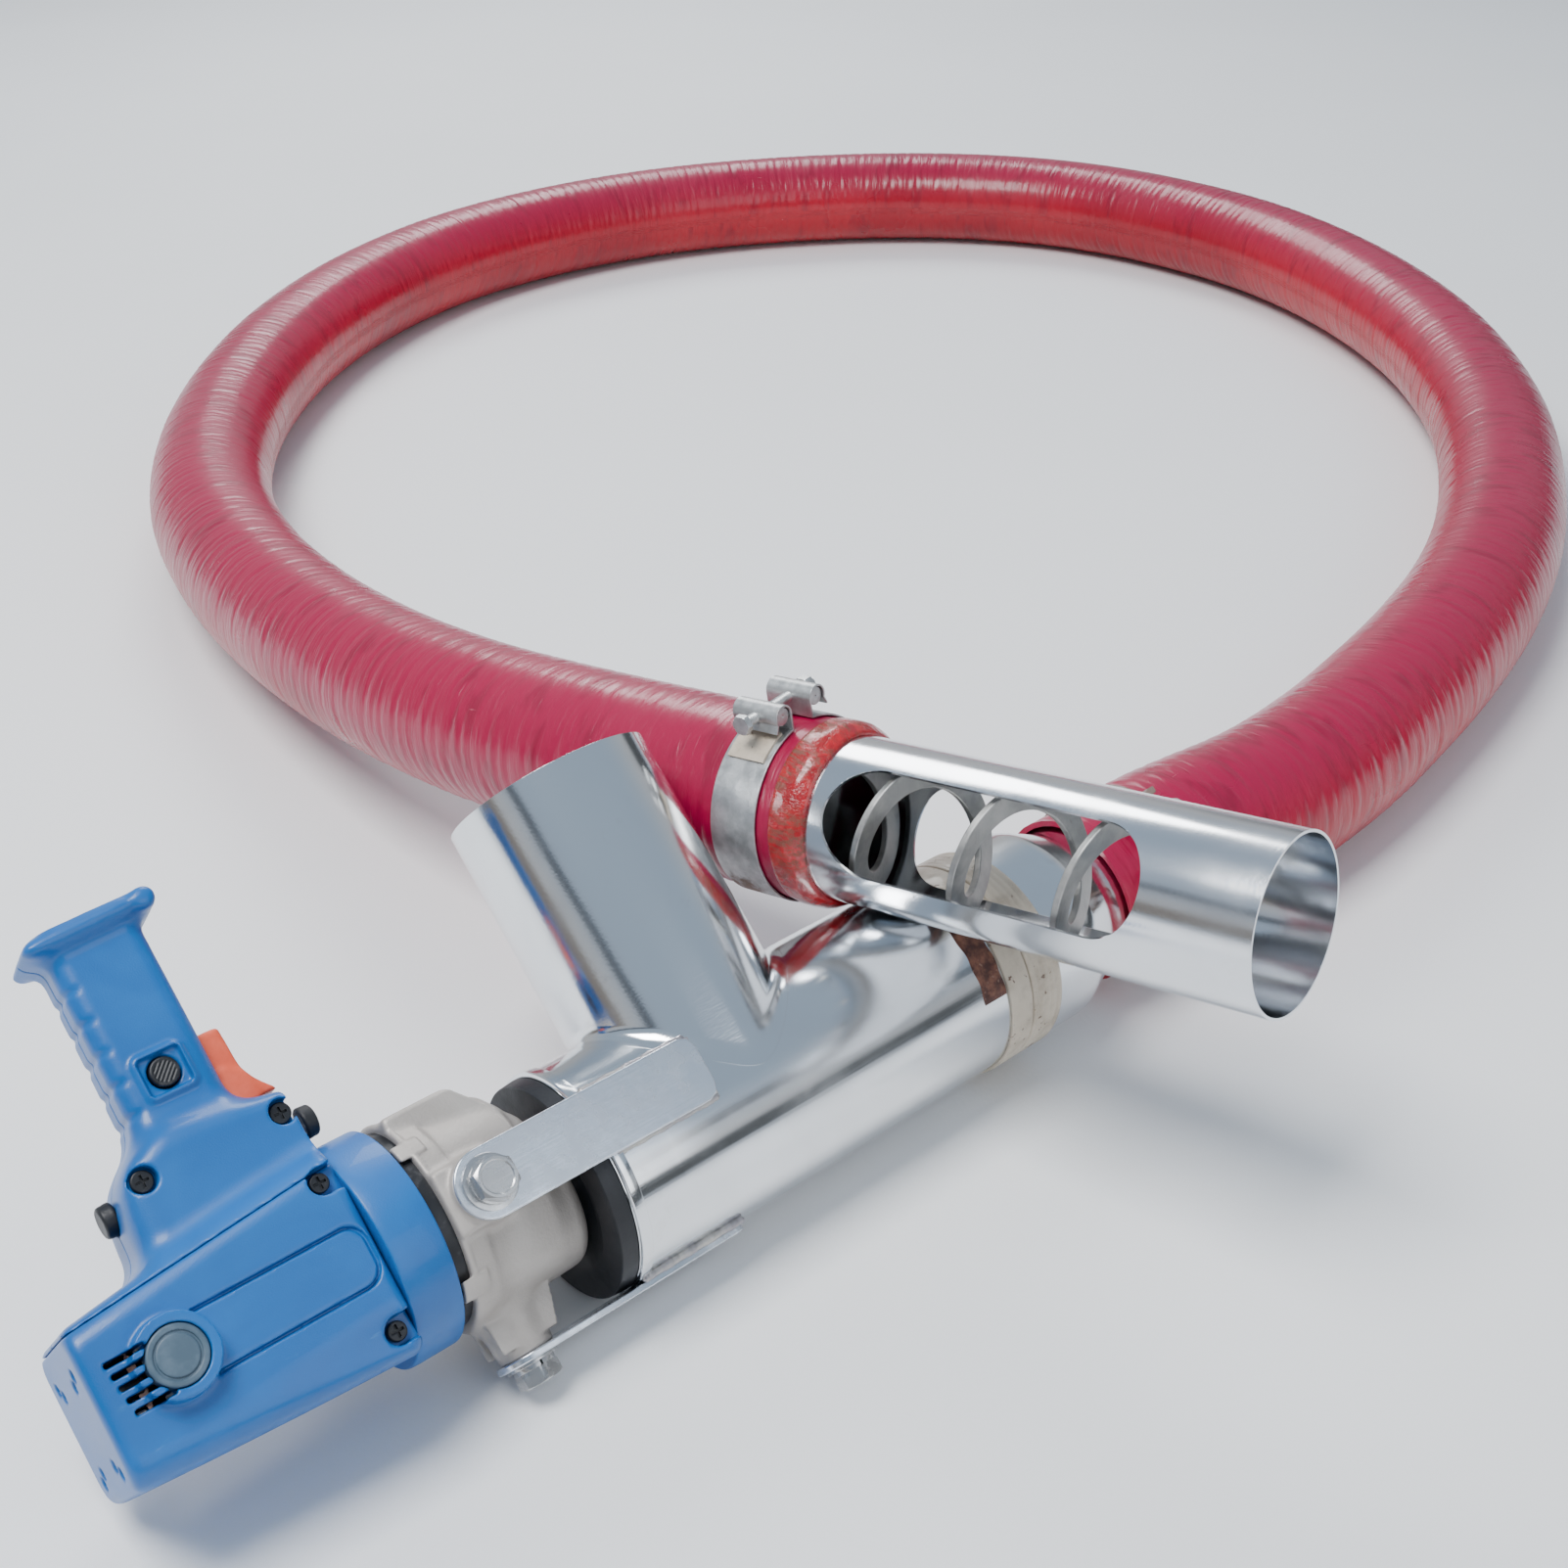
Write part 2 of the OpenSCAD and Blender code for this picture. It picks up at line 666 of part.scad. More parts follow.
module at_brushes() for (side = [0, 180])
    translate([brush_x, motor_offset, 0]) rotate([side, 0, 0]) children();
module brush_holders() color("goldenrod") in_head() at_brushes()
    translate([0, 0, commutator_r + 3]) difference() {
        translate([-brush_w / 2 - 2, -brush_w / 2 - 2, 0])
            cube([brush_w + 4, brush_w + 4, holder_top - commutator_r - 3]);
        translate([-brush_w / 2 - seat_gap, -brush_w / 2 - seat_gap, -1])
            cube([brush_w + 2 * seat_gap, brush_w + 2 * seat_gap, 60]);
    }
module carbon_brushes() color("black") in_head() at_brushes()
    translate([-brush_w / 2, -brush_w / 2, commutator_r + run_gap])
        cube([brush_w, brush_w, holder_top - 3 - commutator_r]);
module brush_caps() color("darkslategray") in_head() at_brushes()
    translate([0, 0, holder_top + seat_gap]) difference() {
        cylinder(r = cap_r, h = cap_face - holder_top);
        translate([0, 0, cap_face - holder_top - 1.2]) ring(cap_r - 3, cap_r - 4, 3);
    }

// ---- Motor housing ------------------------------------------------------

// Outline of the housing, grown by g: small at the rear, full at the ring
module housing_block(g) {
    stations = [
        [motor_back - g, motor_rear_y, motor_rear_h / 2 - 5, motor_half_z - 11],
        [motor_back + 6, motor_rear_y, motor_rear_h / 2, motor_half_z - 6],
        [ring_back - seat_gap - eps, motor_offset, ring_r - 4, motor_half_z]
    ];
    hull() for (s = stations, sy = [-1, 1], sz = [-1, 1])
        along_x(s[0], s[1] + sy * (s[2] - housing_corner), sz * (s[3] - housing_corner))
            cylinder(r = housing_corner + g, h = eps, $fn = 32);
}
module motor_housing() color("dodgerblue") in_head() difference() {
    union() {
        housing_block(0);
        at_brushes() cylinder(r = cap_boss_r, h = cap_face);
    }
    intersection() {
        housing_block(-shell_wall);
        at_motor(motor_back + shell_wall + small_bearing_w + 1) cylinder(r = 80, h = motor_len);
    }
    at_motor(ring_back - 20) cylinder(r = fan_r + 3, h = 30);
    at_motor(core_x - 8) cylinder(r = stator_r + seat_gap, h = 80);
    at_motor(motor_back + shell_wall) cylinder(r = small_bearing_r, h = small_bearing_w + 10);
    at_brushes() {
        translate([-brush_w / 2 - 2.1, -brush_w / 2 - 2.1, 0]) cube([brush_w + 4.2, brush_w + 4.2, 60]);
        translate([0, 0, holder_top]) cylinder(r = cap_r + seat_gap, h = 30);
    }
    // cooling slots beside each brush cap
    for (side = [-1, 1], i = [0:4])
        translate([motor_back + 9 + i * 0.6, motor_rear_y + 13 - 6 * i, side * 45 - 12])
            cube([16, 2.6, 24]);
    // paired outlets in the rear face
    for (y = [-12, 30], z = [16, 24]) along_x(motor_back - 1, y, z) cylinder(r = 2.2, h = 8);
    // long flute below each side panel
    for (side = [-1, 1]) along_x(motor_back + 22, motor_offset - 46, side * (motor_half_z + 22))
        cylinder(r = 24, h = motor_len - 36);
    screw_holes();
}
module at_housing_screws() for (y = [-36, 36], z = [-38, 38])
    along_x(ring_back - 10, motor_offset + y, z) children();
module screw_holes() at_housing_screws() {
    cylinder(r = screw_r, h = 60);
    translate([0, 0, -30]) cylinder(r = screw_head_r + 1, h = 34);
}
module front_ring() color("dodgerblue") in_head() difference() {
    at_motor(ring_back) ring(ring_r, fan_r + 3, ring_w - seat_gap);
    screw_holes();
}
module housing_screws() color("black") in_head() at_housing_screws() {
    translate([0, 0, 4 - 3.5]) difference() {
        cylinder(r = screw_head_r, h = 3.4);
        for (turn = [0, 90]) rotate([0, 0, turn]) translate([-3, -0.6, -1]) cube([6, 1.2, 2.2]);
    }
    translate([0, 0, 4 - eps]) cylinder(r = screw_r - 0.2, h = 24);
}

// ---- Handle -------------------------------------------------------------

module grip_outline() polygon([
    [grip_x - grip_depth / 2, grip_y0 - 10], [grip_x - grip_depth / 2, grip_top - flange_t],
    [grip_x + grip_depth / 2, grip_top - flange_t], [grip_x + grip_depth / 2, grip_y0 - 10]
]);
module shoulder_outline() polygon([
    [shoulder_back, 30], [shoulder_back, shoulder_top - 12], [shoulder_back + 20, shoulder_top + 6],
    [shoulder_front - 20, shoulder_top + 2], [shoulder_front, shoulder_top - 2],
    [shoulder_front, 40]
]);
module handle_half() difference() {
    union() {
        linear_extrude(grip_t / 2) grip_outline();
        linear_extrude(shoulder_t / 2) shoulder_outline();
        translate([grip_x - flange_len / 2, grip_top - flange_t, 0])
            cube([flange_len, flange_t, flange_w / 2]);
    }
    // hollow of the grip and of the shoulder
    translate([grip_x - grip_depth / 2 + shell_wall, 60, -1])
        cube([grip_depth - 2 * shell_wall, grip_top - flange_t - 60, grip_t / 2 - shell_wall + 1]);
    translate([shoulder_back + 14, 30, -1])
        cube([shoulder_front - shoulder_back - 28, 54, shoulder_t / 2 - shell_wall + 1]);
    // way out for the trigger
    translate([grip_x, trigger_y0 - 1, -1])
        cube([60, trigger_h + 2, trigger_w / 2 + run_gap + 1]);
}
module pocket_holes() for (x = pocket_x) translate([x, pocket_y, 0]) {
    cylinder(r = screw_r, h = 60, center = true);
    translate([0, 0, shoulder_t / 2 - 8]) cylinder(r = pocket_r, h = 20);
}
module plug_holes() {
    for (side = [0, 180]) at_plug(side) translate([0, 0, -4]) cylinder(r = plug_r + seat_gap, h = 12);
}
module handle_cuts() {
    housing_block(seat_gap);
    at_motor(ring_back) cylinder(r = ring_r + seat_gap, h = ring_w);
    pocket_holes();
    plug_holes();
}
module handle_right() color("dodgerblue") in_head() difference() {
    handle_half();
    handle_cuts();
    translate([lock_x, lock_y, 0]) cylinder(r = lock_r + run_gap, h = 40);
    translate([lock_x - 11, lock_y - 11, grip_t / 2 - 2]) cube([22, 22, 5]);
}
module handle_left() color("dodgerblue") in_head() difference() {
    mirror([0, 0, 1]) handle_half();
    handle_cuts();
}
module handle_screws() color("black") in_head() for (x = pocket_x)
    translate([x, pocket_y, shoulder_t / 2 - 8]) {
        difference() {
            cylinder(r = pocket_r - 1, h = 3);
            for (turn = [0, 90]) rotate([0, 0, turn]) translate([-3, -0.6, 2]) cube([6, 1.2, 2]);
        }
        translate([0, 0, -shoulder_t / 2]) cylinder(r = screw_r - 0.2, h = shoulder_t / 2 + eps);
    }
module at_plug(side) translate([side == 0 ? shoulder_front : shoulder_back, plug_y, 0])
    rotate([0, side == 0 ? 90 : -90, 0]) children();
module shoulder_plugs() color("black") in_head() for (side = [0, 180])
    at_plug(side) translate([0, 0, -4 + seat_gap]) cylinder(r = plug_r, h = 7);

module trigger() color("tomato") in_head()
    translate([0, 0, -trigger_w / 2]) linear_extrude(trigger_w) polygon([
        [grip_x + 6, trigger_y0], [grip_x + 6, trigger_y0 + trigger_h],
        [grip_x + grip_depth / 2 + trigger_travel + 6, trigger_y0 + trigger_h],
        [grip_x + grip_depth / 2 + trigger_travel + 8, trigger_y0 + trigger_h - 10],
        [shoulder_front - 4, trigger_y0 + 6], [shoulder_front - 6, trigger_y0]
    ]);
module lock_button() color("black") in_head() translate([lock_x, lock_y, 0]) {
    translate([0, 0, switch_t / 2 + lock_travel + run_gap])
        cylinder(r = lock_r, h = grip_t / 2 + 1 - switch_t / 2 - lock_travel - run_gap);
}
module switch_body() color("dimgray") in_head()
    translate([grip_x - grip_depth / 2 + shell_wall + run_gap, trigger_y0 - 6, -switch_t / 2])
        cube([grip_depth / 2 + 6 - trigger_travel - shell_wall - 2 * run_gap, switch_h, switch_t]);

// ---- Hose and intake ----------------------------------------------------

module hose() color("crimson") {
    n = hose_sides;
    stations = [
        for (i = [0:hose_legs - 1], j = [0:rings_per_leg - 1])
            [curve(i, j / rings_per_leg), heading(i, j / rings_per_leg)],
        [curve(hose_legs - 1, 1), heading(hose_legs - 1, 1)]
    ];
    last = len(stations) - 1;
    points = [
        for (r = [hose_r, hose_r - hose_wall], s = stations, k = [0:n - 1])
            around(s[0], s[1], r, 360 * k / n)
    ];
    inner = (last + 1) * n;
    polyhedron(points, [
        for (i = [0:last - 1], k = [0:n - 1])
            let (a = i * n + k, b = i * n + (k + 1) % n)
            each [
                [a, a + n, b], [b, a + n, b + n],
                [inner + a, inner + b, inner + a + n], [inner + b, inner + b + n, inner + a + n]
            ],
        for (k = [0:n - 1])
            let (a = k, b = (k + 1) % n, c = last * n + k, d = last * n + (k + 1) % n)
            each [
                [a, b, inner + b], [a, inner + b, inner + a],
                [c, inner + d, d], [c, inner + c, inner + d]
            ]
    ]);
}

// A window with round ends through both walls of the intake tube
window_half = (intake_r - tube_wall / 2) * sin(window_angle / 2);
module window_cut() rotate([0, 0, window_centre]) rotate([0, 90, 0])
    linear_extrude(2.4 * intake_r, center = true) {
        for (z = [mouth_len + window_half, mouth_len + window_len - window_half])
            translate([-z, 0]) circle(r = window_half);
        translate([-mouth_len - window_len + window_half, -window_half])
            square([window_len - 2 * window_half, 2 * window_half]);
    }
module intake_tube() color("lightsteelblue") in_intake() difference() {
    ring(intake_r, intake_r - tube_wall, intake_len);
    window_cut();
}
module hose_end_wrap() color("darkred") in_intake()
    translate([0, 0, hose_on_intake - wrap_lead])
        rotate_extrude() polygon([
            [intake_r + seat_gap, 0], [intake_r + 2.5, 0], [hose_r + wrap_t, wrap_lead + 3],
            [hose_r + wrap_t, wrap_len], [hose_r + seat_gap, wrap_len],
            [hose_r + seat_gap, wrap_lead - seat_gap], [intake_r + seat_gap, wrap_lead - seat_gap]
        ]);

// Both hose clamps, in the frame of the tube under each: Z along the tube
module at_clamps() {
    in_intake() translate([0, 0, clamp_s]) rotate([0, 0, clamp_turn]) children();
    in_head() along_x(discharge_clamp_x) rotate([0, 0, 90]) children();
}
module clamp_bands() color("silver") at_clamps() {
    difference() {
        ring(hose_r + clamp_gap + clamp_t, hose_r + clamp_gap, clamp_w);
        translate([0, -clamp_open / 2, -1]) cube([80, clamp_open, clamp_w + 2]);
    }
    difference() {
        for (side = [-1, 1])
            translate([hose_r + clamp_gap, side * (clamp_open / 2 + 1) - 1, 4])
                cube([lug_h, 2, clamp_w - 8]);
        translate([hose_r + lug_h - 4, 0, clamp_w / 2]) rotate([90, 0, 0])
            cylinder(r = clamp_bolt_r + seat_gap, h = 40, center = true);
    }
}
module clamp_plates() color("gainsboro") at_clamps() rotate([0, 0, -38])
    difference() {
        rotate_extrude(angle = 22)
            translate([hose_r + clamp_gap + clamp_t + eps, 3]) square([1.6, clamp_w - 6]);
        for (a = [6, 16], z = [9, clamp_w - 9]) rotate([0, 0, a]) translate([0, 0, z])
            rotate([0, 90, 0]) cylinder(r = 1.6, h = 80);
    }
module clamp_trunnions() color("silver") at_clamps()
    for (side = [-1, 1])
        translate([hose_r + lug_h - 4, side * (clamp_open / 2 + 2 + trunnion_r), 2]) difference() {
            cylinder(r = trunnion_r, h = clamp_w - 4);
            translate([0, 0, clamp_w / 2 - 2]) rotate([90, 0, 0])
                cylinder(r = clamp_bolt_r + seat_gap, h = 40, center = true);
        }
module clamp_bolts() color("silver") at_clamps() translate([hose_r + lug_h - 4, 0, clamp_w / 2]) {
    rotate([90, 0, 0]) cylinder(r = clamp_bolt_r, h = clamp_bolt_len, center = true);
    translate([0, -clamp_bolt_len / 2 - 4, 0]) rotate([-90, 0, 0]) hexagon(10, 4 + eps);
}
module clamp_nuts() color("silver") at_clamps()
    translate([hose_r + lug_h - 4, clamp_open / 2 + 2 + 2 * trunnion_r + seat_gap, clamp_w / 2])
        rotate([-90, 0, 0]) difference() {
            hexagon(10, 6);
            translate([0, 0, -1]) cylinder(r = clamp_bolt_r + eps, h = 8);
        }

// ---- Drawing ------------------------------------------------------------

head_tube();
outlet_spout();
drive_end_hoop();
seal_cap();
coupling_gasket();
coupling_band();
clip_band();
hose_connector();
upper_strap();
lower_strap();
strap_welds();
strap_bolts();
spring_washers();
flat_washers();
gearbox();
gear_plate();
bearings();
spindle();
output_gear();
drive_coupling();
coupling_screws();
head_spiral();
intermediate_shaft();
intermediate_gear();
armature_shaft();
armature_core();
commutator();
cooling_fan();
motor_housing();
front_ring();
housing_screws();
stator();
field_coils();
brush_holders();
carbon_brushes();
brush_caps();
handle_left();
handle_right();
handle_screws();
shoulder_plugs();
trigger();
lock_button();
switch_body();
hose();
hose_spiral();
intake_tube();
intake_spiral();
hose_end_wrap();
clamp_bands();
clamp_plates();
clamp_trunnions();
clamp_bolts();
clamp_nuts();
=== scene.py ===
import json
import math

import bmesh
import bpy
import numpy as np
from mathutils import Matrix, Vector


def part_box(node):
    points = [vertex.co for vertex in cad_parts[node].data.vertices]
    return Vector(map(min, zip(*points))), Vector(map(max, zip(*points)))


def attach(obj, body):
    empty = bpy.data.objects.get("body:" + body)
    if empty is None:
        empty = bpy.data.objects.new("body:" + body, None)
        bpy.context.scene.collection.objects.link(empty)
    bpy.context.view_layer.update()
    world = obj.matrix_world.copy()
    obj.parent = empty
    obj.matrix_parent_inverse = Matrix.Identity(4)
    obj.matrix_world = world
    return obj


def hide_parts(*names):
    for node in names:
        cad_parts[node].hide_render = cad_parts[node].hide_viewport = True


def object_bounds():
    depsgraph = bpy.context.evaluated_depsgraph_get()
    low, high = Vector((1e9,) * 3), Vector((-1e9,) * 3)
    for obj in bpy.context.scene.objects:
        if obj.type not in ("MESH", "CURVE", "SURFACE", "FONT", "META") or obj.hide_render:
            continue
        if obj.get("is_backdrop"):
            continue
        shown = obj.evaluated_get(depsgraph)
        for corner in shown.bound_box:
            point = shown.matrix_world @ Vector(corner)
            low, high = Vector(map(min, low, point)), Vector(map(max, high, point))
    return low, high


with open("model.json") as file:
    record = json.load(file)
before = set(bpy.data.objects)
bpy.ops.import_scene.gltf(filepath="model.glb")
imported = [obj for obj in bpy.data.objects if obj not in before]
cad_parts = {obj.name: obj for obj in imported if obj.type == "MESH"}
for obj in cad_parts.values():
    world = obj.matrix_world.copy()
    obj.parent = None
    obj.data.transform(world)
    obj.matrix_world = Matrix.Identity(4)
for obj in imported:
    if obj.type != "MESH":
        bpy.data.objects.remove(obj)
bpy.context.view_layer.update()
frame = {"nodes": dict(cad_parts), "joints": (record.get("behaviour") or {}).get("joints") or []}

# ---- Camera -----------------------------------------------------------------
# It stands behind the drill's handle at head height of a person who crouches,
# and looks down along the discharge tube towards the loop of hose.
camera_lens = bpy.data.cameras.new("camera")
camera_lens.sensor_width = 36
camera_lens.lens = 46.24
camera = bpy.data.objects.new("camera", camera_lens)
camera.location = (-0.4774, -0.6781, 0.729)
camera.rotation_euler = [math.radians(angle) for angle in (58.316, 1.086, -40.653)]
bpy.context.scene.collection.objects.link(camera)
bpy.context.scene.camera = camera

# ---- Hose -------------------------------------------------------------------
# About four metres of thin-walled red PVC hose. It is extruded, then wound on
# itself, so its skin is glossy and creased round its girth, most on the flanks.
# It is pushed over a spigot at each end and clamped there.
joints = {joint["name"]: joint for joint in frame["joints"]}
to_hose = -Vector(joints["intake_auger_spin"]["axis"]).normalized()
# the joint's point lies this far up the intake tube from its open mouth
joint_up_tube = 0.150
intake_mouth = Vector(joints["intake_auger_spin"]["pos_m"]) - joint_up_tube * to_hose
hose_r = 0.050
hose_wall = 0.0036
hose_clearance = 0.0003
hose_on_intake = 0.256
hose_straight = 0.347
tube_axis = Vector(joints["spindle_spin"]["pos_m"])
hose_start_x, hose_lead = 0.2586, 0.080
hose_start = Vector((hose_start_x, tube_axis.y, tube_axis.z))


def intake_point(s):
    """The point on the intake tube's axis that is s metres from its mouth."""
    return intake_mouth + s * to_hose


hose_loop = [
    (430, -57, 54), (510, -50, 52), (590, -35, 51), (680, -14, 51),
    (780, 18, 51), (880, 63, 51), (980, 123, 51), (1075, 194, 51),
    (1160, 277, 51), (1232, 367, 51), (1290, 465, 51), (1332, 565, 51),
    (1357, 665, 51), (1363, 765, 51), (1352, 865, 51), (1320, 960, 51),
    (1262, 1050, 51), (1185, 1127, 51), (1095, 1190, 51), (1000, 1237, 51),
    (900, 1266, 51), (795, 1276, 51), (690, 1267, 51), (590, 1237, 51),
    (490, 1187, 51), (390, 1115, 51), (295, 1020, 52), (213, 910, 55),
    (150, 790, 59), (110, 660, 66), (87, 530, 77), (77, 405, 91),
    (77, 290, 108), (87, 190, 124),
]
hose_route = np.array(
    [hose_start, hose_start + Vector((hose_lead, 0, 0))]
    + [Vector(point) / 1000 for point in hose_loop]
    + [intake_point(hose_straight), intake_point(hose_on_intake)]
)


def smooth_line(points, spacing):
    """Points about spacing apart on the smooth curve through points, and its headings."""
    padded = np.vstack([2 * points[0] - points[1], points, 2 * points[-1] - points[-2]])
    legs = []
    for a, b, c, d in zip(padded, padded[1:], padded[2:], padded[3:]):
        steps = max(2, round(np.linalg.norm(c - b) / spacing))
        t = (np.arange(steps) / steps)[:, None]
        bend, pull = 2 * a - 5 * b + 4 * c - d, 3 * b - a - 3 * c + d
        legs.append(0.5 * (2 * b + (c - a) * t + bend * t**2 + pull * t**3))
    line = np.vstack([*legs, points[-1:]])
    heading = np.gradient(line, axis=0)
    return line, heading / np.linalg.norm(heading, axis=1)[:, None]


def make_piece(name, vertices, faces, crease=28, outward=True):
    """A mesh object with smooth shading that breaks at edges sharper than crease degrees."""
    mesh = bpy.data.meshes.new(name)
    mesh.from_pydata(np.asarray(vertices).tolist(), [], [tuple(face) for face in faces])
    if outward:
        shell = bmesh.new()
        shell.from_mesh(mesh)
        bmesh.ops.recalc_face_normals(shell, faces=shell.faces)
        shell.to_mesh(mesh)
        shell.free()
    mesh.shade_smooth()
    mesh.set_sharp_from_angle(angle=math.radians(crease))
    made = bpy.data.objects.new(name, mesh)
    bpy.context.scene.collection.objects.link(made)
    return made


def ring_faces(rings, sides, loop=False):
    """Quads between rings of points that follow each other; loop joins the last to the first."""
    i, k = np.meshgrid(np.arange(rings if loop else rings - 1), np.arange(sides), indexing="ij")
    j, n = (i + 1) % rings, (k + 1) % sides
    return np.stack([i * sides + k, i * sides + n, j * sides + n, j * sides + k], -1).reshape(-1, 4)


hose_sides, hose_spacing = 36, 0.0017
hose_line, hose_heading = smooth_line(hose_route, hose_spacing)
hose_run = np.r_[0, np.cumsum(np.linalg.norm(np.diff(hose_line, axis=0), axis=1))]


def spokes(heading, angles):
    """Directions across each heading, one for each angle round it from the level."""
    side = np.cross([0, 0, 1], heading)
    side /= np.linalg.norm(side, axis=1)[:, None]
    upright = np.cross(heading, side)
    level, rise = np.cos(angles)[None, :, None], np.sin(angles)[None, :, None]
    return level * side[:, None] + rise * upright[:, None]


def creases(along, angle):
    """Depth of the hose's creases, from 0 on a ridge to 1: they run round the girth and wander."""
    depth = 0
    for pitch, share, wander, turn in [
        (0.0113, 0.34, 2.1, 0.4), (0.0179, 0.26, 2.9, 2.2),
        (0.0081, 0.24, 1.7, 4.1), (0.041, 0.16, 2.3, 1.3),
    ]:
        drift = wander * np.sin(angle + turn + along * 2.3 / pitch * 0.013)
        depth = depth + share * (1 - np.abs(np.sin(math.pi * along / pitch + drift)))
    flank = 0.5 - 0.5 * np.sin(angle + 0.6 * np.sin(along * 7))
    patch = 0.5 + 0.5 * np.sin(along * 9.1 + 2 * np.sin(along * 3.7 + angle))
    return depth**2 * (0.25 + 0.5 * flank + 0.45 * patch)


angles = np.arange(hose_sides) * 2 * math.pi / hose_sides
along_grid, angle_grid = np.meshgrid(hose_run, angles, indexing="ij")
crease_depth = 0.0019
hose_radius = hose_r - hose_clearance - crease_depth * creases(along_grid, angle_grid)
directions = spokes(hose_heading, angles)
outer = hose_line[:, None] + hose_radius[..., None] * directions
inner_step = 14
inner_rows = np.unique(np.r_[np.arange(0, len(hose_line), inner_step), len(hose_line) - 1])[::-1]
inner = hose_line[inner_rows, None] + (hose_r - hose_wall) * directions[inner_rows]
hose_points = np.concatenate([outer, inner]).reshape(-1, 3)
hose = make_piece(
    "red_hose", hose_points, ring_faces(len(outer) + len(inner), hose_sides, loop=True), crease=50
)
hose_uv = hose.data.uv_layers.new(name="along_and_round")
point_uv = np.stack([
    np.concatenate([along_grid, along_grid[inner_rows]]).ravel(),
    np.concatenate([angle_grid, angle_grid[inner_rows]]).ravel(),
], -1)
corner_point = np.zeros(len(hose.data.loops), np.int32)
hose.data.loops.foreach_get("vertex_index", corner_point)
hose_uv.data.foreach_set("uv", point_uv[corner_point].astype(np.float32).ravel())


class Value:
    """An output of a node. Arithmetic on numbers adds Math nodes to its tree."""

    def __init__(self, tree, socket):
        self.tree, self.socket = tree, socket

    def maths(self, operation, *values):
        return self.tree.node("ShaderNodeMath", {"operation": operation}, dict(enumerate(values)))

    def __add__(self, other):
        return self.maths("ADD", self, other)

    def __sub__(self, other):
        return self.maths("SUBTRACT", self, other)

    def __rsub__(self, other):
        return self.maths("SUBTRACT", other, self)

    def __mul__(self, other):
        return self.maths("MULTIPLY", self, other)

    __radd__, __rmul__ = __add__, __mul__

    def between(self, low, high):
        """0 at low and below, 1 at high and above, and smooth from one to the other."""
        limits = {"Value": self, "From Min": low, "From Max": high}
        return self.tree.node("ShaderNodeMapRange", {"interpolation_type": "SMOOTHSTEP"}, limits)


class Tree:
    """A node tree. node() adds any node and gives one of its outputs."""

    def __init__(self, nodes):
        self.nodes = nodes

    def node(self, kind, settings=None, inputs=None, output=0):
        made = self.nodes.nodes.new(kind)
        for name, value in (settings or {}).items():
            setattr(made, name, value)
        for name, value in (inputs or {}).items():
            self.feed(made.inputs[name], value)
        return Value(self, made.outputs[output])

    def feed(self, socket, value):
        if isinstance(value, Value):
            self.nodes.links.new(value.socket, socket)
        else:
            socket.default_value = value

    def mix(self, share, first, second):
        colours = {0: share, 6: first, 7: second}
        return self.node("ShaderNodeMix", {"data_type": "RGBA"}, colours, output=2)


class Finish(Tree):
    """A material: its Principled shader, and Object coordinates to place patterns by."""

    def __init__(self, name):
        self.material = bpy.data.materials.new(name)
        self.material.use_nodes = True
        super().__init__(self.material.node_tree)
        self.shader = self.nodes.nodes["Principled BSDF"]
        self.place = self.node("ShaderNodeTexCoord", output="Object")

    def set(self, sockets):
        for name, value in sockets.items():
            self.feed(self.shader.inputs[name], value)
        return self

    def stretched(self, place, scale, turn=(0, 0, 0)):
        return self.node("ShaderNodeMapping", {}, {"Vector": place, "Scale": scale, "Rotation": turn})

    def noise(self, scale, detail=3.0, rough=0.5, place=None, bend=0.0):
        sizes = {"Scale": scale, "Detail": detail, "Roughness": rough, "Distortion": bend}
        return self.node("ShaderNodeTexNoise", {}, {"Vector": place or self.place, **sizes})

    def relief(self, height, depth):
        return self.node("ShaderNodeBump", {}, {"Height": height, "Distance": depth})

    def height(self):
        return self.node("ShaderNodeSeparateXYZ", {}, {"Vector": self.place}, "Z")


def colour(red, green, blue, share=1.0):
    """A colour for a socket, or a share of its brightness."""
    return (red * share, green * share, blue * share, 1.0)


def dress(pieces, finish):
    """Gives a finish to new pieces, or to the material slots of CAD nodes."""
    for one in pieces:
        if one.material_slots:
            for slot in one.material_slots:
                slot.material = finish.material
        else:
            one.data.materials.append(finish.material)


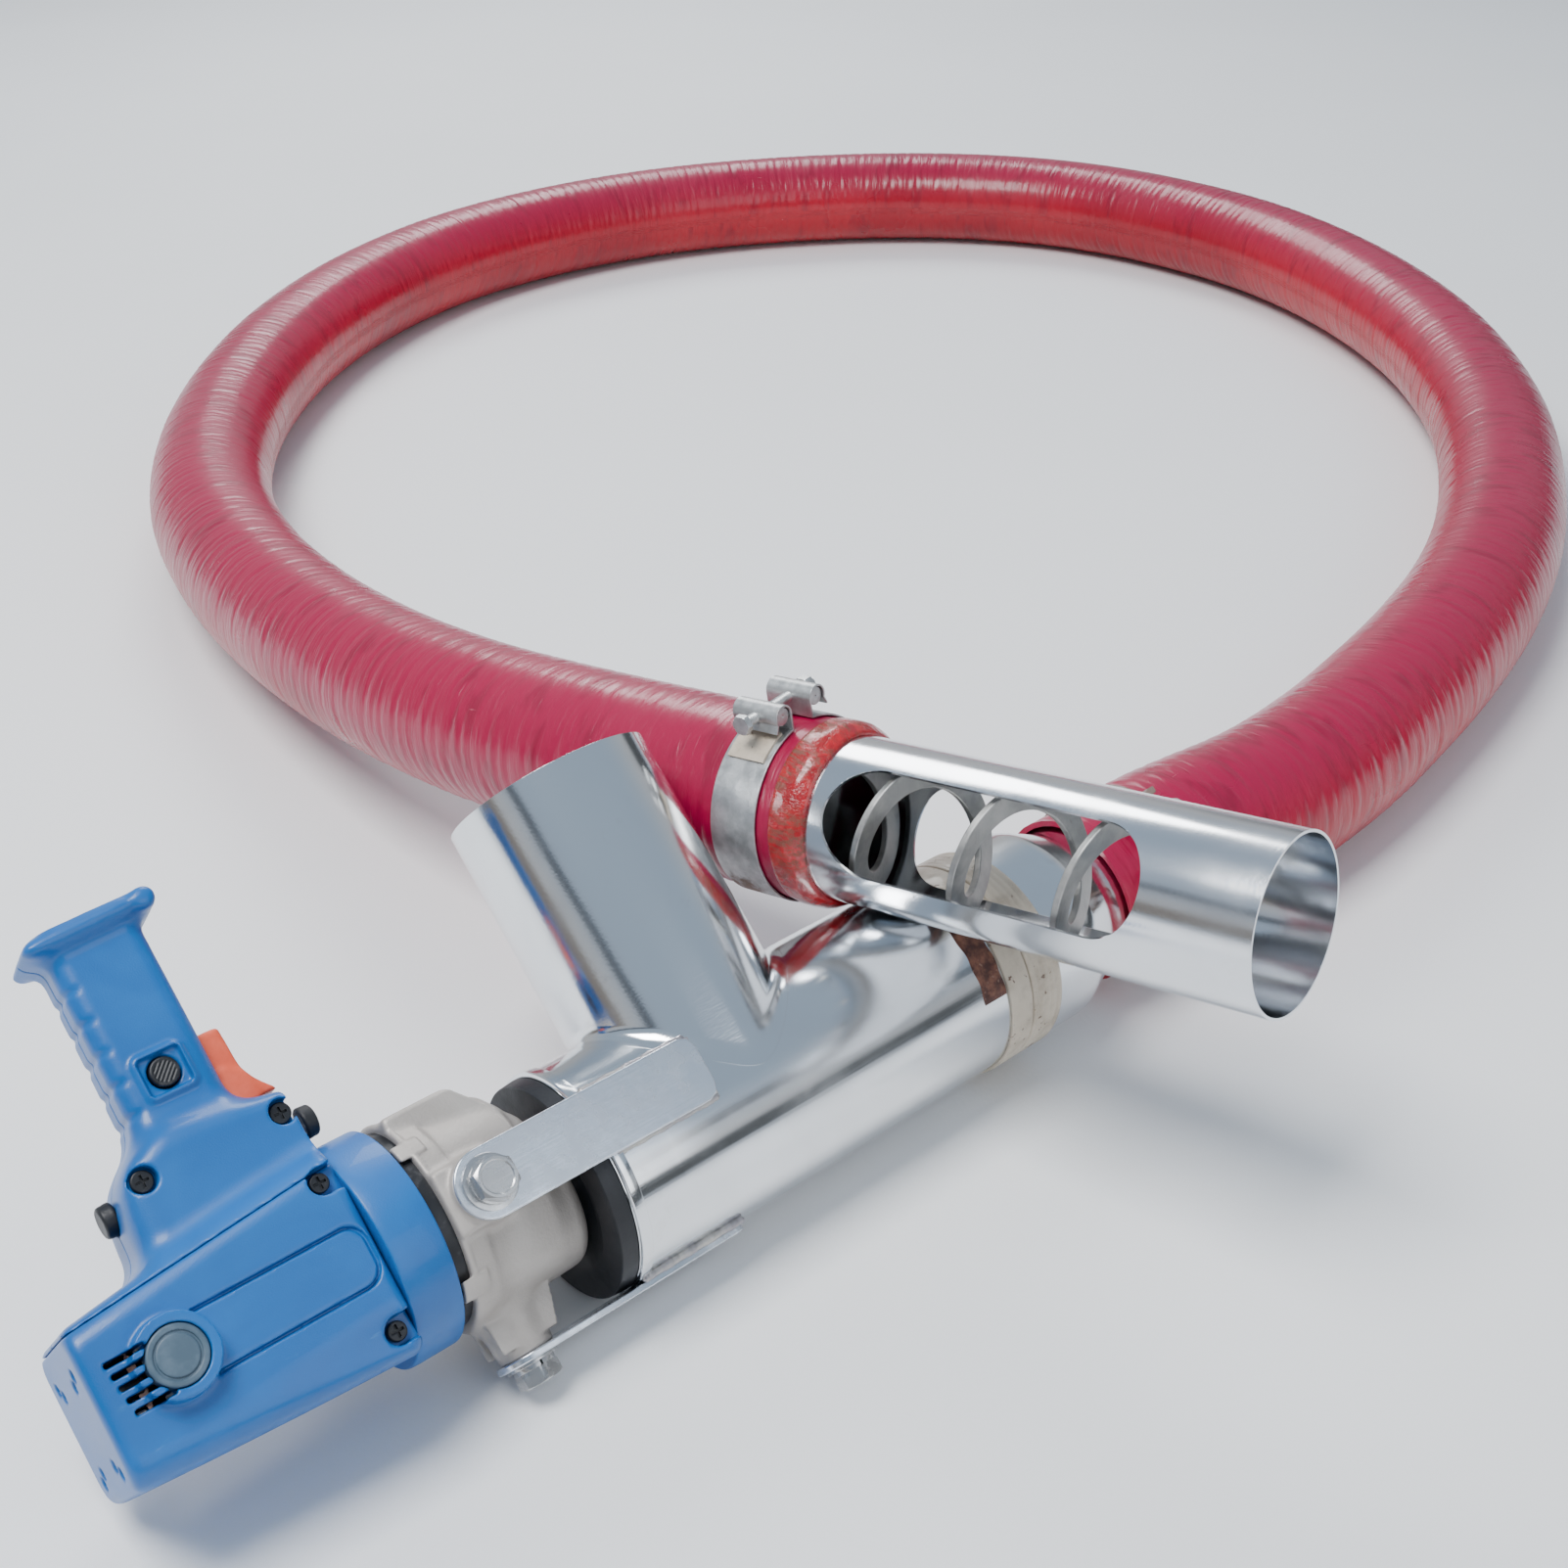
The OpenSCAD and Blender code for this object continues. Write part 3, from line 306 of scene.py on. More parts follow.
def red_pvc():
    """Glossy soft PVC: fine creases round the girth, scuffs, and a painted sky reflection that turns
    its top crimson.
    """
    skin = Finish("red_pvc")
    girth = skin.node("ShaderNodeUVMap", {"uv_map": "along_and_round"})
    fine = skin.noise(1.0, 3, place=skin.stretched(girth, (230, 1.6, 1)), bend=0.6)
    broad = skin.noise(1.0, 2, place=skin.stretched(girth, (70, 1.1, 1)), bend=0.8)
    scuff = skin.noise(1.0, 5, 0.62, place=skin.stretched(girth, (90, 14, 1), (0, 0, 0.9)))
    scratches = scuff.between(0.70, 0.74)
    shade = skin.noise(5, 3)
    # painted reflection: the upper side of the hose is mixed towards a bluer crimson by height,
    # standing in for the sky reflected on top
    top = (skin.height() + 0.02 * shade).between(0.055, 0.115)
    red = skin.mix(shade.between(0.35, 0.65), colour(0.30, 0.002, 0.013), colour(0.40, 0.004, 0.016))
    red = skin.mix(top * 0.9, red, colour(0.31, 0.002, 0.046))
    red = skin.mix(broad.between(0.50, 0.72) * 0.4, red, colour(0.13, 0.001, 0.014))
    red = skin.mix(scratches * 0.45, red, colour(0.62, 0.16, 0.20))
    creased = skin.relief(fine * 0.45 + broad * 0.55, 0.0016)
    return skin.set({
        "Base Color": red,
        "Roughness": 0.26 + 0.14 * skin.noise(11, 4).between(0.3, 0.7) + 0.2 * scratches,
        "Coat Weight": 0.22 - 0.2 * scratches,
        "Coat Roughness": 0.14,
        "Specular IOR Level": 0.4,
        "Normal": creased,
    })


hose_red = red_pvc()
dress([hose], hose_red)
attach(hose, "root")
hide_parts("hose")

# ---- Spiral in the hose -----------------------------------------------------
# A flat steel bar rolled on edge into an open spiral, oiled and worn bright at
# its rim. This stretch lies hidden in the hose, so the plain solid shows it.


def spiral_steel():
    """Hot-rolled bar: grey mill skin, streaked and polished by grain where it rubs."""
    bar = Finish("spiral_steel")
    blotch = bar.noise(38, 5, 0.6)
    streak = bar.noise(1.0, 3, place=bar.stretched(bar.place, (420, 420, 60)))
    grey = bar.mix(blotch.between(0.35, 0.7), colour(0.30, 0.30, 0.29), colour(0.52, 0.51, 0.49))
    grey = bar.mix(streak.between(0.62, 0.8) * 0.4, grey, colour(0.20, 0.16, 0.13))
    return bar.set({
        "Base Color": grey,
        "Metallic": 0.9,
        "Roughness": 0.34 + 0.22 * blotch.between(0.3, 0.7),
        "Normal": bar.relief(blotch * 0.6 + streak * 0.4, 0.0004),
    })


bar_steel = spiral_steel()
dress([frame["nodes"]["hose_spiral"]], bar_steel)

# ---- Discharge head ---------------------------------------------------------
# The main tube and the spout are rolled from 1.5 mm bright stainless sheet. The
# hole's edge is drawn up into the spout, so the joint is a soft, polished
# saddle and not a sharp weld. A rolled hoop stiffens the drill end.
head_z = -Vector(joints["lock_press"]["axis"]).normalized()
head_x = Vector(joints["spindle_spin"]["axis"]).normalized()
head_y = head_z.cross(head_x)
head_place = Matrix((head_x, head_y, head_z)).transposed().to_4x4()
head_place.translation = Vector((0, tube_axis.y, tube_axis.z))
# in the head's own frame X runs along the main tube and Y up the spout
tube_low, tube_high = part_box("head_tube")
tube_r = (tube_high.y - tube_low.y) / 2
steel_wall = 0.0015
spout_r = 0.056
spout_len = 0.183
saddle_lip = 0.007


def put(piece, place):
    """Bakes a place into a piece's mesh, so that its object stays at the origin."""
    piece.data.transform(place)
    return piece


def thicken(piece, wall, edge=0.0003):
    """Gives a sheet its wall, inwards, and breaks its sharp edges."""
    sheet = piece.modifiers.new("wall", "SOLIDIFY")
    sheet.thickness = wall
    sheet.offset = -1
    round_over(piece, edge)
    return piece


def round_over(piece, width):
    """A small bevel on every sharp edge, with the faces beside it kept flat."""
    bevel = piece.modifiers.new("edges", "BEVEL")
    bevel.width = width
    bevel.segments = 2
    bevel.limit_method = "ANGLE"
    bevel.angle_limit = math.radians(32)
    bevel.harden_normals = True
    return piece


def merged(piece):
    """The piece with its doubled points joined."""
    shell = bmesh.new()
    shell.from_mesh(piece.data)
    bmesh.ops.remove_doubles(shell, verts=shell.verts, dist=1e-6)
    bmesh.ops.recalc_face_normals(shell, faces=shell.faces)
    shell.to_mesh(piece.data)
    shell.free()
    return piece


def slotted_tube(name, radius, columns, samples):
    """A tube along local X. Each column is (x, [(from, to) angles of its wall]), one span per strip."""
    points, faces = [], []
    for strip in range(len(columns[0][1])):
        base = len(points)
        for x, spans in columns:
            first, last = spans[strip]
            for angle in np.linspace(first, last, samples + 1):
                points.append((x, radius * math.cos(angle), radius * math.sin(angle)))
        wide = samples + 1
        for i in range(len(columns) - 1):
            for k in range(samples):
                a = base + i * wide + k
                faces.append((a, a + 1, a + wide + 1, a + wide))
    return merged(make_piece(name, points, faces, crease=40, outward=False))


def saddle(theta, lip):
    """Where the main tube's hole has its edge, and where the drawn lip meets the tube."""
    hole = math.asin(min(1, spout_r * math.sin(theta) / tube_r))
    return (spout_r + lip) * math.cos(theta), hole + lip / tube_r * math.sin(theta)


def make_head_tube():
    """The main tube, with columns of points that follow the edge of the spout's hole."""
    full = (0, 2 * math.pi)
    hole_half = spout_r + saddle_lip
    hole = [saddle(theta, saddle_lip) for theta in np.linspace(math.pi, 0, 97)]
    columns = [(x, [full]) for x in np.linspace(tube_low.x, -hole_half, 12)[:-1]]
    columns += [(x, [(edge, 2 * math.pi - edge)]) for x, edge in hole]
    columns += [(x, [full]) for x in np.linspace(hole_half, tube_high.x, 30)[1:]]
    return slotted_tube("main_tube", tube_r, columns, 192)


def make_spout():
    """Rings round the spout's axis: first the drawn lip, as one soft bend, then the plain wall."""
    around = np.linspace(0, 2 * math.pi, 193)[:-1]
    lip_rings, wall_rings = 14, 25
    rings = []
    for step in [(1 - math.cos(k * math.pi / lip_rings)) / 2 for k in range(lip_rings + 1)]:
        ring = []
        for theta in around:
            turn, side = min(theta, 2 * math.pi - theta), math.copysign(1, math.pi - theta)
            x, angle = saddle(turn, saddle_lip)
            foot = Vector((x, tube_r * math.cos(angle), side * tube_r * math.sin(angle)))
            x, angle = saddle(turn, 0)
            corner = Vector((x, tube_r * math.cos(angle), side * spout_r * math.sin(turn)))
            top = corner + Vector((0, saddle_lip, 0))
            ring.append((1 - step) ** 2 * foot + 2 * step * (1 - step) * corner + step**2 * top)
        rings.append(ring)
    start = rings[-1]
    for share in [k / wall_rings for k in range(1, wall_rings + 1)]:
        rings.append([p.lerp(Vector((p.x, spout_len, p.z)), share) for p in start])
    points = [p for ring in rings for p in ring]
    return make_piece("spout", points, ring_faces(len(rings), len(around)), crease=40)


def bright_steel(name, tint, dull, streak_turn):
    """Polished stainless sheet: faint rolling lines, smeared finger grease, hollows from rolling."""
    sheet = Finish(name)
    lines = sheet.noise(1.0, 3, place=sheet.stretched(sheet.place, (6, 900, 900), streak_turn))
    smear = sheet.noise(9, 4, 0.55, bend=0.8)
    dents = sheet.noise(13, 1, 0.4)
    soil = sheet.noise(30, 5, 0.65).between(0.60, 0.82)
    face = sheet.mix(smear.between(0.35, 0.7), colour(*tint), colour(*tint, 0.93))
    face = sheet.mix(soil * 0.35, face, colour(0.42, 0.37, 0.32))
    return sheet.set({
        "Base Color": face,
        "Metallic": 1.0,
        "Roughness": dull + 0.10 * smear.between(0.4, 0.75) + 0.05 * lines + 0.18 * soil,
        "Normal": sheet.relief(dents * 0.9 + lines * 0.03, 0.0008),
    })


head_steel = bright_steel("polished_steel", (0.80, 0.82, 0.84), 0.10, (0, 0, 0))
main_tube = put(thicken(make_head_tube(), steel_wall), head_place)
spout = put(thicken(make_spout(), steel_wall), head_place)
for piece, node in [(main_tube, "head_tube"), (spout, "outlet_spout")]:
    dress([piece], head_steel)
    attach(piece, "root")
    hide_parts(node)


def rounded(corners, radius):
    """A closed outline with each corner turned into a short arc."""
    corners = [Vector(c) for c in corners]
    made = []
    for before, here, after in zip(corners[-1:] + corners[:-1], corners, corners[1:] + corners[:1]):
        reach = min(radius, (before - here).length / 2.1, (after - here).length / 2.1)
        start = here + (before - here).normalized() * reach
        end = here + (after - here).normalized() * reach
        for t in np.linspace(0, 1, 4):
            made.append((1 - t) ** 2 * start + 2 * t * (1 - t) * here + t**2 * end)
    return made


def capped(rings, sides):
    """The quads of a stack of rings, with a face across each end."""
    last = (rings - 1) * sides
    ends = [list(range(sides)), list(range(last, last + sides))]
    return ring_faces(rings, sides).tolist() + ends


def turned(name, outline, sides, from_angle=0.0, arc=2 * math.pi, crease=28):
    """A closed outline of (x, radius) turned about local X, all the way round or through an arc."""
    whole = arc == 2 * math.pi
    angles = np.linspace(from_angle, from_angle + arc, sides, endpoint=not whole)
    points = [(x, r * math.cos(a), r * math.sin(a)) for a in angles for x, r in outline]
    faces = ring_faces(sides, len(outline), loop=True) if whole else capped(sides, len(outline))
    return make_piece(name, points, faces, crease)


def finish_piece(piece, place, finish, body, slot, *nodes):
    """Places, dresses and mounts one finished piece that stands for the named nodes."""
    put(piece, place)
    dress([piece], finish)
    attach(piece, body)
    if nodes:
        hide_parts(*nodes)
    return piece


hoop_w, hoop_t = 0.007, 0.0016
hoop_outline = rounded([
    (tube_low.x, tube_r - steel_wall + 0.0001), (tube_low.x + 0.0012, tube_r + hoop_t),
    (tube_low.x + hoop_w, tube_r + hoop_t), (tube_low.x + hoop_w, tube_r + 0.00005),
    (tube_low.x + 0.0016, tube_r + 0.00005),
], 0.0007)
hoop = turned("end_hoop", hoop_outline, 160)
finish_piece(hoop, head_place, head_steel, "root", "polished_steel", "drive_end_hoop")

# ---- Seal cap ---------------------------------------------------------------
# A moulded black rubber disc plugs the tube's drill end round the spindle. Its
# outer face is dished, with a raised lip, and it has gone grey with flour dust.
cap_low, cap_high = -0.104, -0.079


def black_rubber():
    """Moulded rubber: a matt skin with fine pores and pale dust in the hollows."""
    skin = Finish("black_rubber")
    pores = skin.noise(900, 2)
    dust = skin.noise(26, 5, 0.6)
    powder = dust.between(0.45, 0.75) * 0.5
    dark = skin.mix(powder, colour(0.010, 0.011, 0.014), colour(0.055, 0.055, 0.058))
    return skin.set({
        "Base Color": dark,
        "Roughness": 0.42 + 0.25 * dust.between(0.35, 0.7),
        "Specular IOR Level": 0.45,
        "Normal": skin.relief(pores * 0.4 + dust * 0.6, 0.0003),
    })


rubber = black_rubber()
seal_bore = 0.0103
cap_outline = rounded([
    (cap_low, 0.040), (cap_low, tube_r - 0.0012), (cap_low + 0.0088, tube_r - 0.0003),
    (cap_low + 0.0088, tube_r - 0.0017), (cap_high, tube_r - 0.0022), (cap_high, seal_bore),
    (cap_low + 0.002, seal_bore), (cap_low + 0.002, 0.034),
], 0.0009)
seal = turned("seal_cap_rubber", cap_outline, 144)
finish_piece(seal, head_place, rubber, "root", "black_rubber", "seal_cap")

# ---- Coupling to the hose ---------------------------------------------------
# A cream band and a ribbed clip band close the joint between the main tube and
# the spigot piece. Old brown sealant has squeezed out beside the band.
band_x, band_w, band_t = 0.151, 0.016, 0.0016
clip_x, clip_w = 0.1676, 0.022


def cream_enamel():
    """Cream paint on a steel band, chipped and stained along its edges."""
    coat = Finish("cream_band")
    grime = coat.noise(55, 5, 0.65)
    fleck = coat.noise(240, 2).between(0.66, 0.72)
    cream = coat.mix(grime.between(0.4, 0.75), colour(0.60, 0.52, 0.41), colour(0.40, 0.33, 0.25))
    cream = coat.mix(fleck, cream, colour(0.16, 0.10, 0.07))
    return coat.set({
        "Base Color": cream,
        "Roughness": 0.34 + 0.3 * grime.between(0.3, 0.7),
        "Coat Weight": 0.25,
        "Normal": coat.relief(grime * 0.7 + fleck * 0.3, 0.0005),
    })


enamel = cream_enamel()
tube_skin = tube_r + 0.00002
band_low, band_high, band_r = band_x + 0.0003, band_x + band_w - 0.0004, tube_r + band_t
band_outline = rounded([
    (band_low, tube_skin), (band_low, band_r), (band_high, band_r), (band_high, tube_skin),
], 0.0005)
band = turned("joint_band", band_outline, 160)
finish_piece(band, head_place, enamel, "root", "cream_band", "coupling_band")

clip_outline = [(clip_x, tube_skin)]
clip_ribs, clip_groove = 5, 0.0005
rib_w = clip_w / clip_ribs
for rib in range(clip_ribs):
    rib_x = clip_x + rib * clip_w / clip_ribs
    clip_outline += [
        (rib_x + 0.0002, band_r - clip_groove), (rib_x + rib_w * 0.3, band_r),
        (rib_x + rib_w * 0.7, band_r), (rib_x + rib_w - 0.0002, band_r - clip_groove),
    ]
clip_outline.append((clip_x + clip_w, tube_skin))
clip = turned("ribbed_clip_band", clip_outline, 160, crease=60)
finish_piece(clip, head_place, enamel, "root", "cream_band", "clip_band")


def brown_sealant():
    """Dried brown sealant with a skin like old leather."""
    paste = Finish("brown_gasket")
    lumps = paste.noise(150, 4, 0.6)
    spots = paste.noise(420, 3)
    brown = paste.mix(lumps.between(0.35, 0.7), colour(0.060, 0.018, 0.012), colour(0.22, 0.085, 0.050))
    brown = paste.mix(spots.between(0.6, 0.75) * 0.5, brown, colour(0.42, 0.26, 0.19))
    return paste.set({
        "Base Color": brown,
        "Roughness": 0.48 + 0.2 * spots,
        "Normal": paste.relief(lumps * 0.8 + spots * 0.2, 0.0014),
    })


sealant = brown_sealant()
patch_from, patch_arc = math.radians(60), math.radians(58)


def sealant_patch():
    """A low pad with uneven, rounded edges, laid on the tube between two angles."""
    rows, columns = 26, 60
    points, faces = [], []
    for layer in (0, 1):
        for i in range(rows):
            for k in range(columns):
                across, along = 2 * i / (rows - 1) - 1, 2 * k / (columns - 1) - 1
                edge = max(0.0, 1 - across**6) * max(0.0, 1 - along**8)
                wave = 0.5 + 0.28 * math.sin(9 * along + 4 * across)
                wave += 0.22 * math.sin(23 * along - 7 * across)
                lift = layer * math.sqrt(edge) * (0.0006 + 0.0005 * wave)
                squeeze = 1 - 0.10 * (0.5 + 0.5 * math.sin(11 * along + 1.3))
                x = band_x - 0.0085 + 0.0082 * across * squeeze
                angle = patch_from + patch_arc * (0.5 + 0.5 * along)
                r = tube_skin + lift
                points.append((x, r * math.cos(angle), r * math.sin(angle)))
    half = rows * columns
    for i in range(rows - 1):
        for k in range(columns - 1):
            a = i * columns + k
            quad = (a, a + 1, a + columns + 1, a + columns)
            faces += [quad, tuple(half + q for q in reversed(quad))]
    rim = list(range(columns)) + [i * columns + columns - 1 for i in range(1, rows)]
    rim += [(rows - 1) * columns + k for k in range(columns - 2, -1, -1)]
    rim += [i * columns for i in range(rows - 2, 0, -1)]
    faces += [(a, b, b + half, a + half) for a, b in zip(rim, rim[1:] + rim[:1])]
    return make_piece("sealant_pad", points, faces, crease=70)


finish_piece(sealant_patch(), head_place, sealant, "root", "brown_gasket", "coupling_gasket")

spigot_low, spigot_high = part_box("hose_connector")
plain_x, cone_x = spigot_low.x + 0.054, spigot_low.x + 0.082
spigot_r = 0.0445
spigot_outline = [
    (spigot_low.x, tube_r), (plain_x - 0.004, tube_r), (plain_x, tube_r - 0.0004),
    (plain_x + 0.004, tube_r - 0.0018), (cone_x - 0.004, spigot_r + 0.0018),
    (cone_x, spigot_r + 0.0004), (cone_x + 0.004, spigot_r), (spigot_high.x, spigot_r),
    (spigot_high.x, spigot_r - steel_wall), (cone_x, spigot_r - steel_wall),
    (plain_x, tube_r - steel_wall), (spigot_low.x, tube_r - steel_wall),
]
spigot = turned("hose_spigot", spigot_outline, 144, crease=40)
finish_piece(spigot, head_place, head_steel, "root", "polished_steel", "hose_connector")

# ---- Straps -----------------------------------------------------------------
# Two flat zinc-plated straps carry the drill. Each is bolted to an ear on the
# gearbox at one end and welded along the main tube at the other.
strap_w, strap_t, strap_len = 0.033, 0.0035, 0.122
strap_bolt_x, motor_y = -0.152, 0.017
ear_face = tube_r + 0.0005


def shifted(x, y, z):
    return Matrix.Translation((x, y, z))


def quarter_turns(count, axis):
    return Matrix.Rotation(count * math.pi / 2, 4, axis)


upper_place = head_place @ shifted(strap_bolt_x, motor_y, ear_face)
lower_place = head_place @ shifted(strap_bolt_x, -ear_face, 0) @ quarter_turns(1, "X")
strap_places = [upper_place, lower_place]


def bright_zinc(name, tint):
    """Zinc plating: cool grey with soft spangles, handling marks and a little white bloom."""
    plate = Finish(name)
    spangle = plate.noise(70, 3, 0.55)
    marks = plate.noise(1.0, 3, place=plate.stretched(plate.place, (40, 700, 700)))
    bloom = plate.noise(24, 5, 0.6).between(0.55, 0.8)
    face = plate.mix(spangle.between(0.3, 0.7), colour(*tint), colour(*tint, 0.82))
    face = plate.mix(bloom * 0.2, face, colour(0.80, 0.80, 0.78))
    return plate.set({
        "Base Color": face,
        "Metallic": 0.95,
        "Roughness": 0.20 + 0.14 * spangle.between(0.35, 0.75) + 0.15 * bloom,
        "Normal": plate.relief(spangle * 0.5 + marks * 0.15, 0.00012),
    })


plating = bright_zinc("plated_strap", (0.74, 0.79, 0.86))


def flat_bar(name, outline, thickness, edge):
    """A flat outline extruded upwards, with rounded edges."""
    points = [(x, y, z) for z in (0, thickness) for x, y in outline]
    return round_over(make_piece(name, points, capped(2, len(outline))), edge)


def strap_outline():
    """A round end at the bolt, straight sides, and a free end with nipped corners."""
    half, nip, blunt = strap_w / 2, 0.007, 0.002
    turn = np.linspace(math.pi / 2, 3 * math.pi / 2, 33)
    free_end = [(strap_len, half - nip), (strap_len - blunt, half - blunt), (strap_len - nip, half)]
    below = [(x, -y) for x, y in reversed(free_end)]
    return [(half * math.cos(a), half * math.sin(a)) for a in turn] + below + free_end


for name, place in zip(["upper", "lower"], strap_places):
    strap = flat_bar(f"{name}_drill_strap", strap_outline(), strap_t, 0.0009)
    finish_piece(strap, place, plating, "root", "plated_strap", f"{name}_strap")

# ---- Welds ------------------------------------------------------------------
# Each strap is welded down both sides: a filler strip under it, and a rippled
# bead along each edge, left as it was laid and wire-brushed.
weld_from, weld_to = 0.060, strap_len
in_place = Matrix.Identity(4)


def weld_metal():
    """Wire-brushed weld: bright ripples with straw and blue heat colour beside them."""
    bead = Finish("weld")
    heat = bead.noise(60, 3)
    grain = bead.noise(500, 3)
    tone = bead.mix(heat.between(0.35, 0.65), colour(0.52, 0.50, 0.47), colour(0.36, 0.34, 0.36))
    return bead.set({
        "Base Color": tone,
        "Metallic": 0.9,
        "Roughness": 0.32 + 0.2 * grain,
        "Normal": bead.relief(grain, 0.0004),
    })


weld_finish = weld_metal()
dress([frame["nodes"]["strap_welds"]], weld_finish)


def bead(points_on_edge, radius, ripples):
    """Rings along a line of points, swollen and pinched like the ripples of a weld."""
    line, heading = smooth_line(np.array(points_on_edge), 0.0008)
    run = np.linspace(0, 1, len(line))
    angles = np.linspace(0, 2 * math.pi, 13)[:-1]
    swell = radius * (1 + 0.16 * np.abs(np.sin(math.pi * ripples * run)) + 0.12 * np.sin(31 * run))
    swell = swell * np.minimum(1, 4 * np.sqrt(np.minimum(run, 1 - run) * 2 + 0.01))
    return line[:, None] + swell[:, None, None] * spokes(heading, angles)


bead_r, bead_ripples, bead_inset = 0.0019, 17, 0.0004
beads = []
for place, across in [(upper_place, motor_y), (lower_place, 0.0)]:
    for edge in (-1, 1):
        level = across + edge * strap_w / 2
        drop = tube_r - math.sqrt(tube_r**2 - level**2)
        low = -0.0008 - min(drop, 0.011) * 0.25
        spots = [
            place @ Vector((along, edge * (strap_w / 2 - bead_inset), low))
            for along in np.linspace(weld_from, weld_to, 4).tolist()
        ]
        beads.append(bead(spots, bead_r, bead_ripples))
for k, rings in enumerate(beads):
    faces = capped(*rings.shape[:2])
    line_bead = make_piece(f"weld_bead_{k + 1}", rings.reshape(-1, 3), faces, crease=60)
    finish_piece(line_bead, in_place, weld_finish, "root", "weld")

# ---- Strap bolts and washers ------------------------------------------------
# M12 zinc-plated hexagon bolts, each on a spring washer and a flat washer.
# Their heads are forged with a chamfered crown and show hammer and spanner marks.
bolt_r, bolt_flats, bolt_head_h = 0.006, 0.019, 0.0075
flat_washer_r, flat_washer_t = 0.013, 0.0016
spring_washer_r, spring_washer_t = 0.0105, 0.0024
fastener_zinc = bright_zinc("zinc_fasteners", (0.60, 0.60, 0.60))
upright = quarter_turns(-1, "Y")


def lathe(name, outline, sides=96, crease=28):
    """A closed outline of (height, radius) turned about local Z."""
    return put(turned(name, outline, sides, crease=crease), upright)


def joined(name, pieces):
    """One object out of several, with every part's mesh kept as it is."""
    first = pieces[0]
    with bpy.context.temp_override(active_object=first, selected_editable_objects=pieces, object=first):
        bpy.ops.object.join()
    first.name = first.data.name = name
    return first


def hexagon(name, flats, low, high, crown=True):
    """A six-sided head or nut with its corners chamfered at thirty degrees."""
    around = np.linspace(0, 2 * math.pi, 97)[:-1]
    folded = (around + math.pi / 6) % (math.pi / 3) - math.pi / 6
    side = flats / 2 / np.cos(folded)
    drop = (side - flats / 2 * 0.96) * math.tan(math.radians(30))
    flat = np.full_like(around, flats / 2 * 0.96)
    foot = np.minimum(side, flats / 2 * 1.06)
    top = np.full_like(around, high)
    levels = [
        (foot, np.full_like(around, low)), (side, low + np.maximum(0, side - foot) * 0.5 + 0.0003),
        (side, top - drop - 0.0001), (side * 0.985 + flat * 0.015, top - drop * 0.93), (flat, top),
    ]
    if crown:
        levels += [(flat * 0.86, top + 0.00002), (flat * 0.80, top - 0.0004)]
    rings = [np.stack([r * np.cos(around), r * np.sin(around), z], 1) for r, z in levels]
    return make_piece(name, np.concatenate(rings), capped(len(rings), len(around)), crease=24)


def threaded(name, radius, low, high, pitch=0.00175):
    """A screw's shank with its thread as close rounded ridges and a chamfered tip."""
    outline = [(low, 0.0002), (low, radius - 0.7 * pitch)]
    for k in range(int((high - low) / pitch)):
        z, root = low + k * pitch, radius - 0.55 * pitch
        outline += [(z + 0.1 * pitch, root), (z + 0.45 * pitch, radius), (z + 0.55 * pitch, radius)]
    outline += [(high, radius - 0.6 * pitch), (high, 0.0002)]
    return lathe(name, outline, 48, crease=60)


def ring_section(low, high, bore, radius, corner):
    """The squared section of a ring or pin between two heights, with eased corners."""
    return rounded([(low, bore), (low, radius), (high, radius), (high, bore)], corner)


def strap_bolt():
    base = strap_t + flat_washer_t + spring_washer_t
    head = hexagon("bolt_head", bolt_flats, base, base + bolt_head_h)
    shank = threaded("bolt_shank", bolt_r, -0.0215, base + 0.001)
    return joined("strap_bolt", [head, shank])


def flat_washer():
    section = ring_section(strap_t, strap_t + flat_washer_t, bolt_r + 0.0004, flat_washer_r, 0.0004)
    return lathe("flat_washer", section)


def spring_washer():
    """A square wire closed into a ring, with its two cut ends a hair apart."""
    low = strap_t + flat_washer_t
    section = ring_section(low, low + spring_washer_t, bolt_r + 0.0003, spring_washer_r, 0.0003)
    return put(turned("spring_washer", section, 90, 0.05, 2 * math.pi - 0.12), upright)


for make, node in [
    (strap_bolt, "strap_bolts"), (spring_washer, "spring_washers"), (flat_washer, "flat_washers"),
]:
    pair = joined(node[:-1] + "_pair", [put(make(), place) for place in strap_places])
    finish_piece(pair, in_place, fastener_zinc, "root", "zinc_fasteners", node)

# ---- Gearbox ----------------------------------------------------------------
# A sand-cast aluminium case in soft, blended forms: a drum behind, a nose round
# the spindle, a flat-topped edge, and one boss for each strap, the lower ribbed.
# It is shaped as a distance field, which gives every inner corner its fillet.


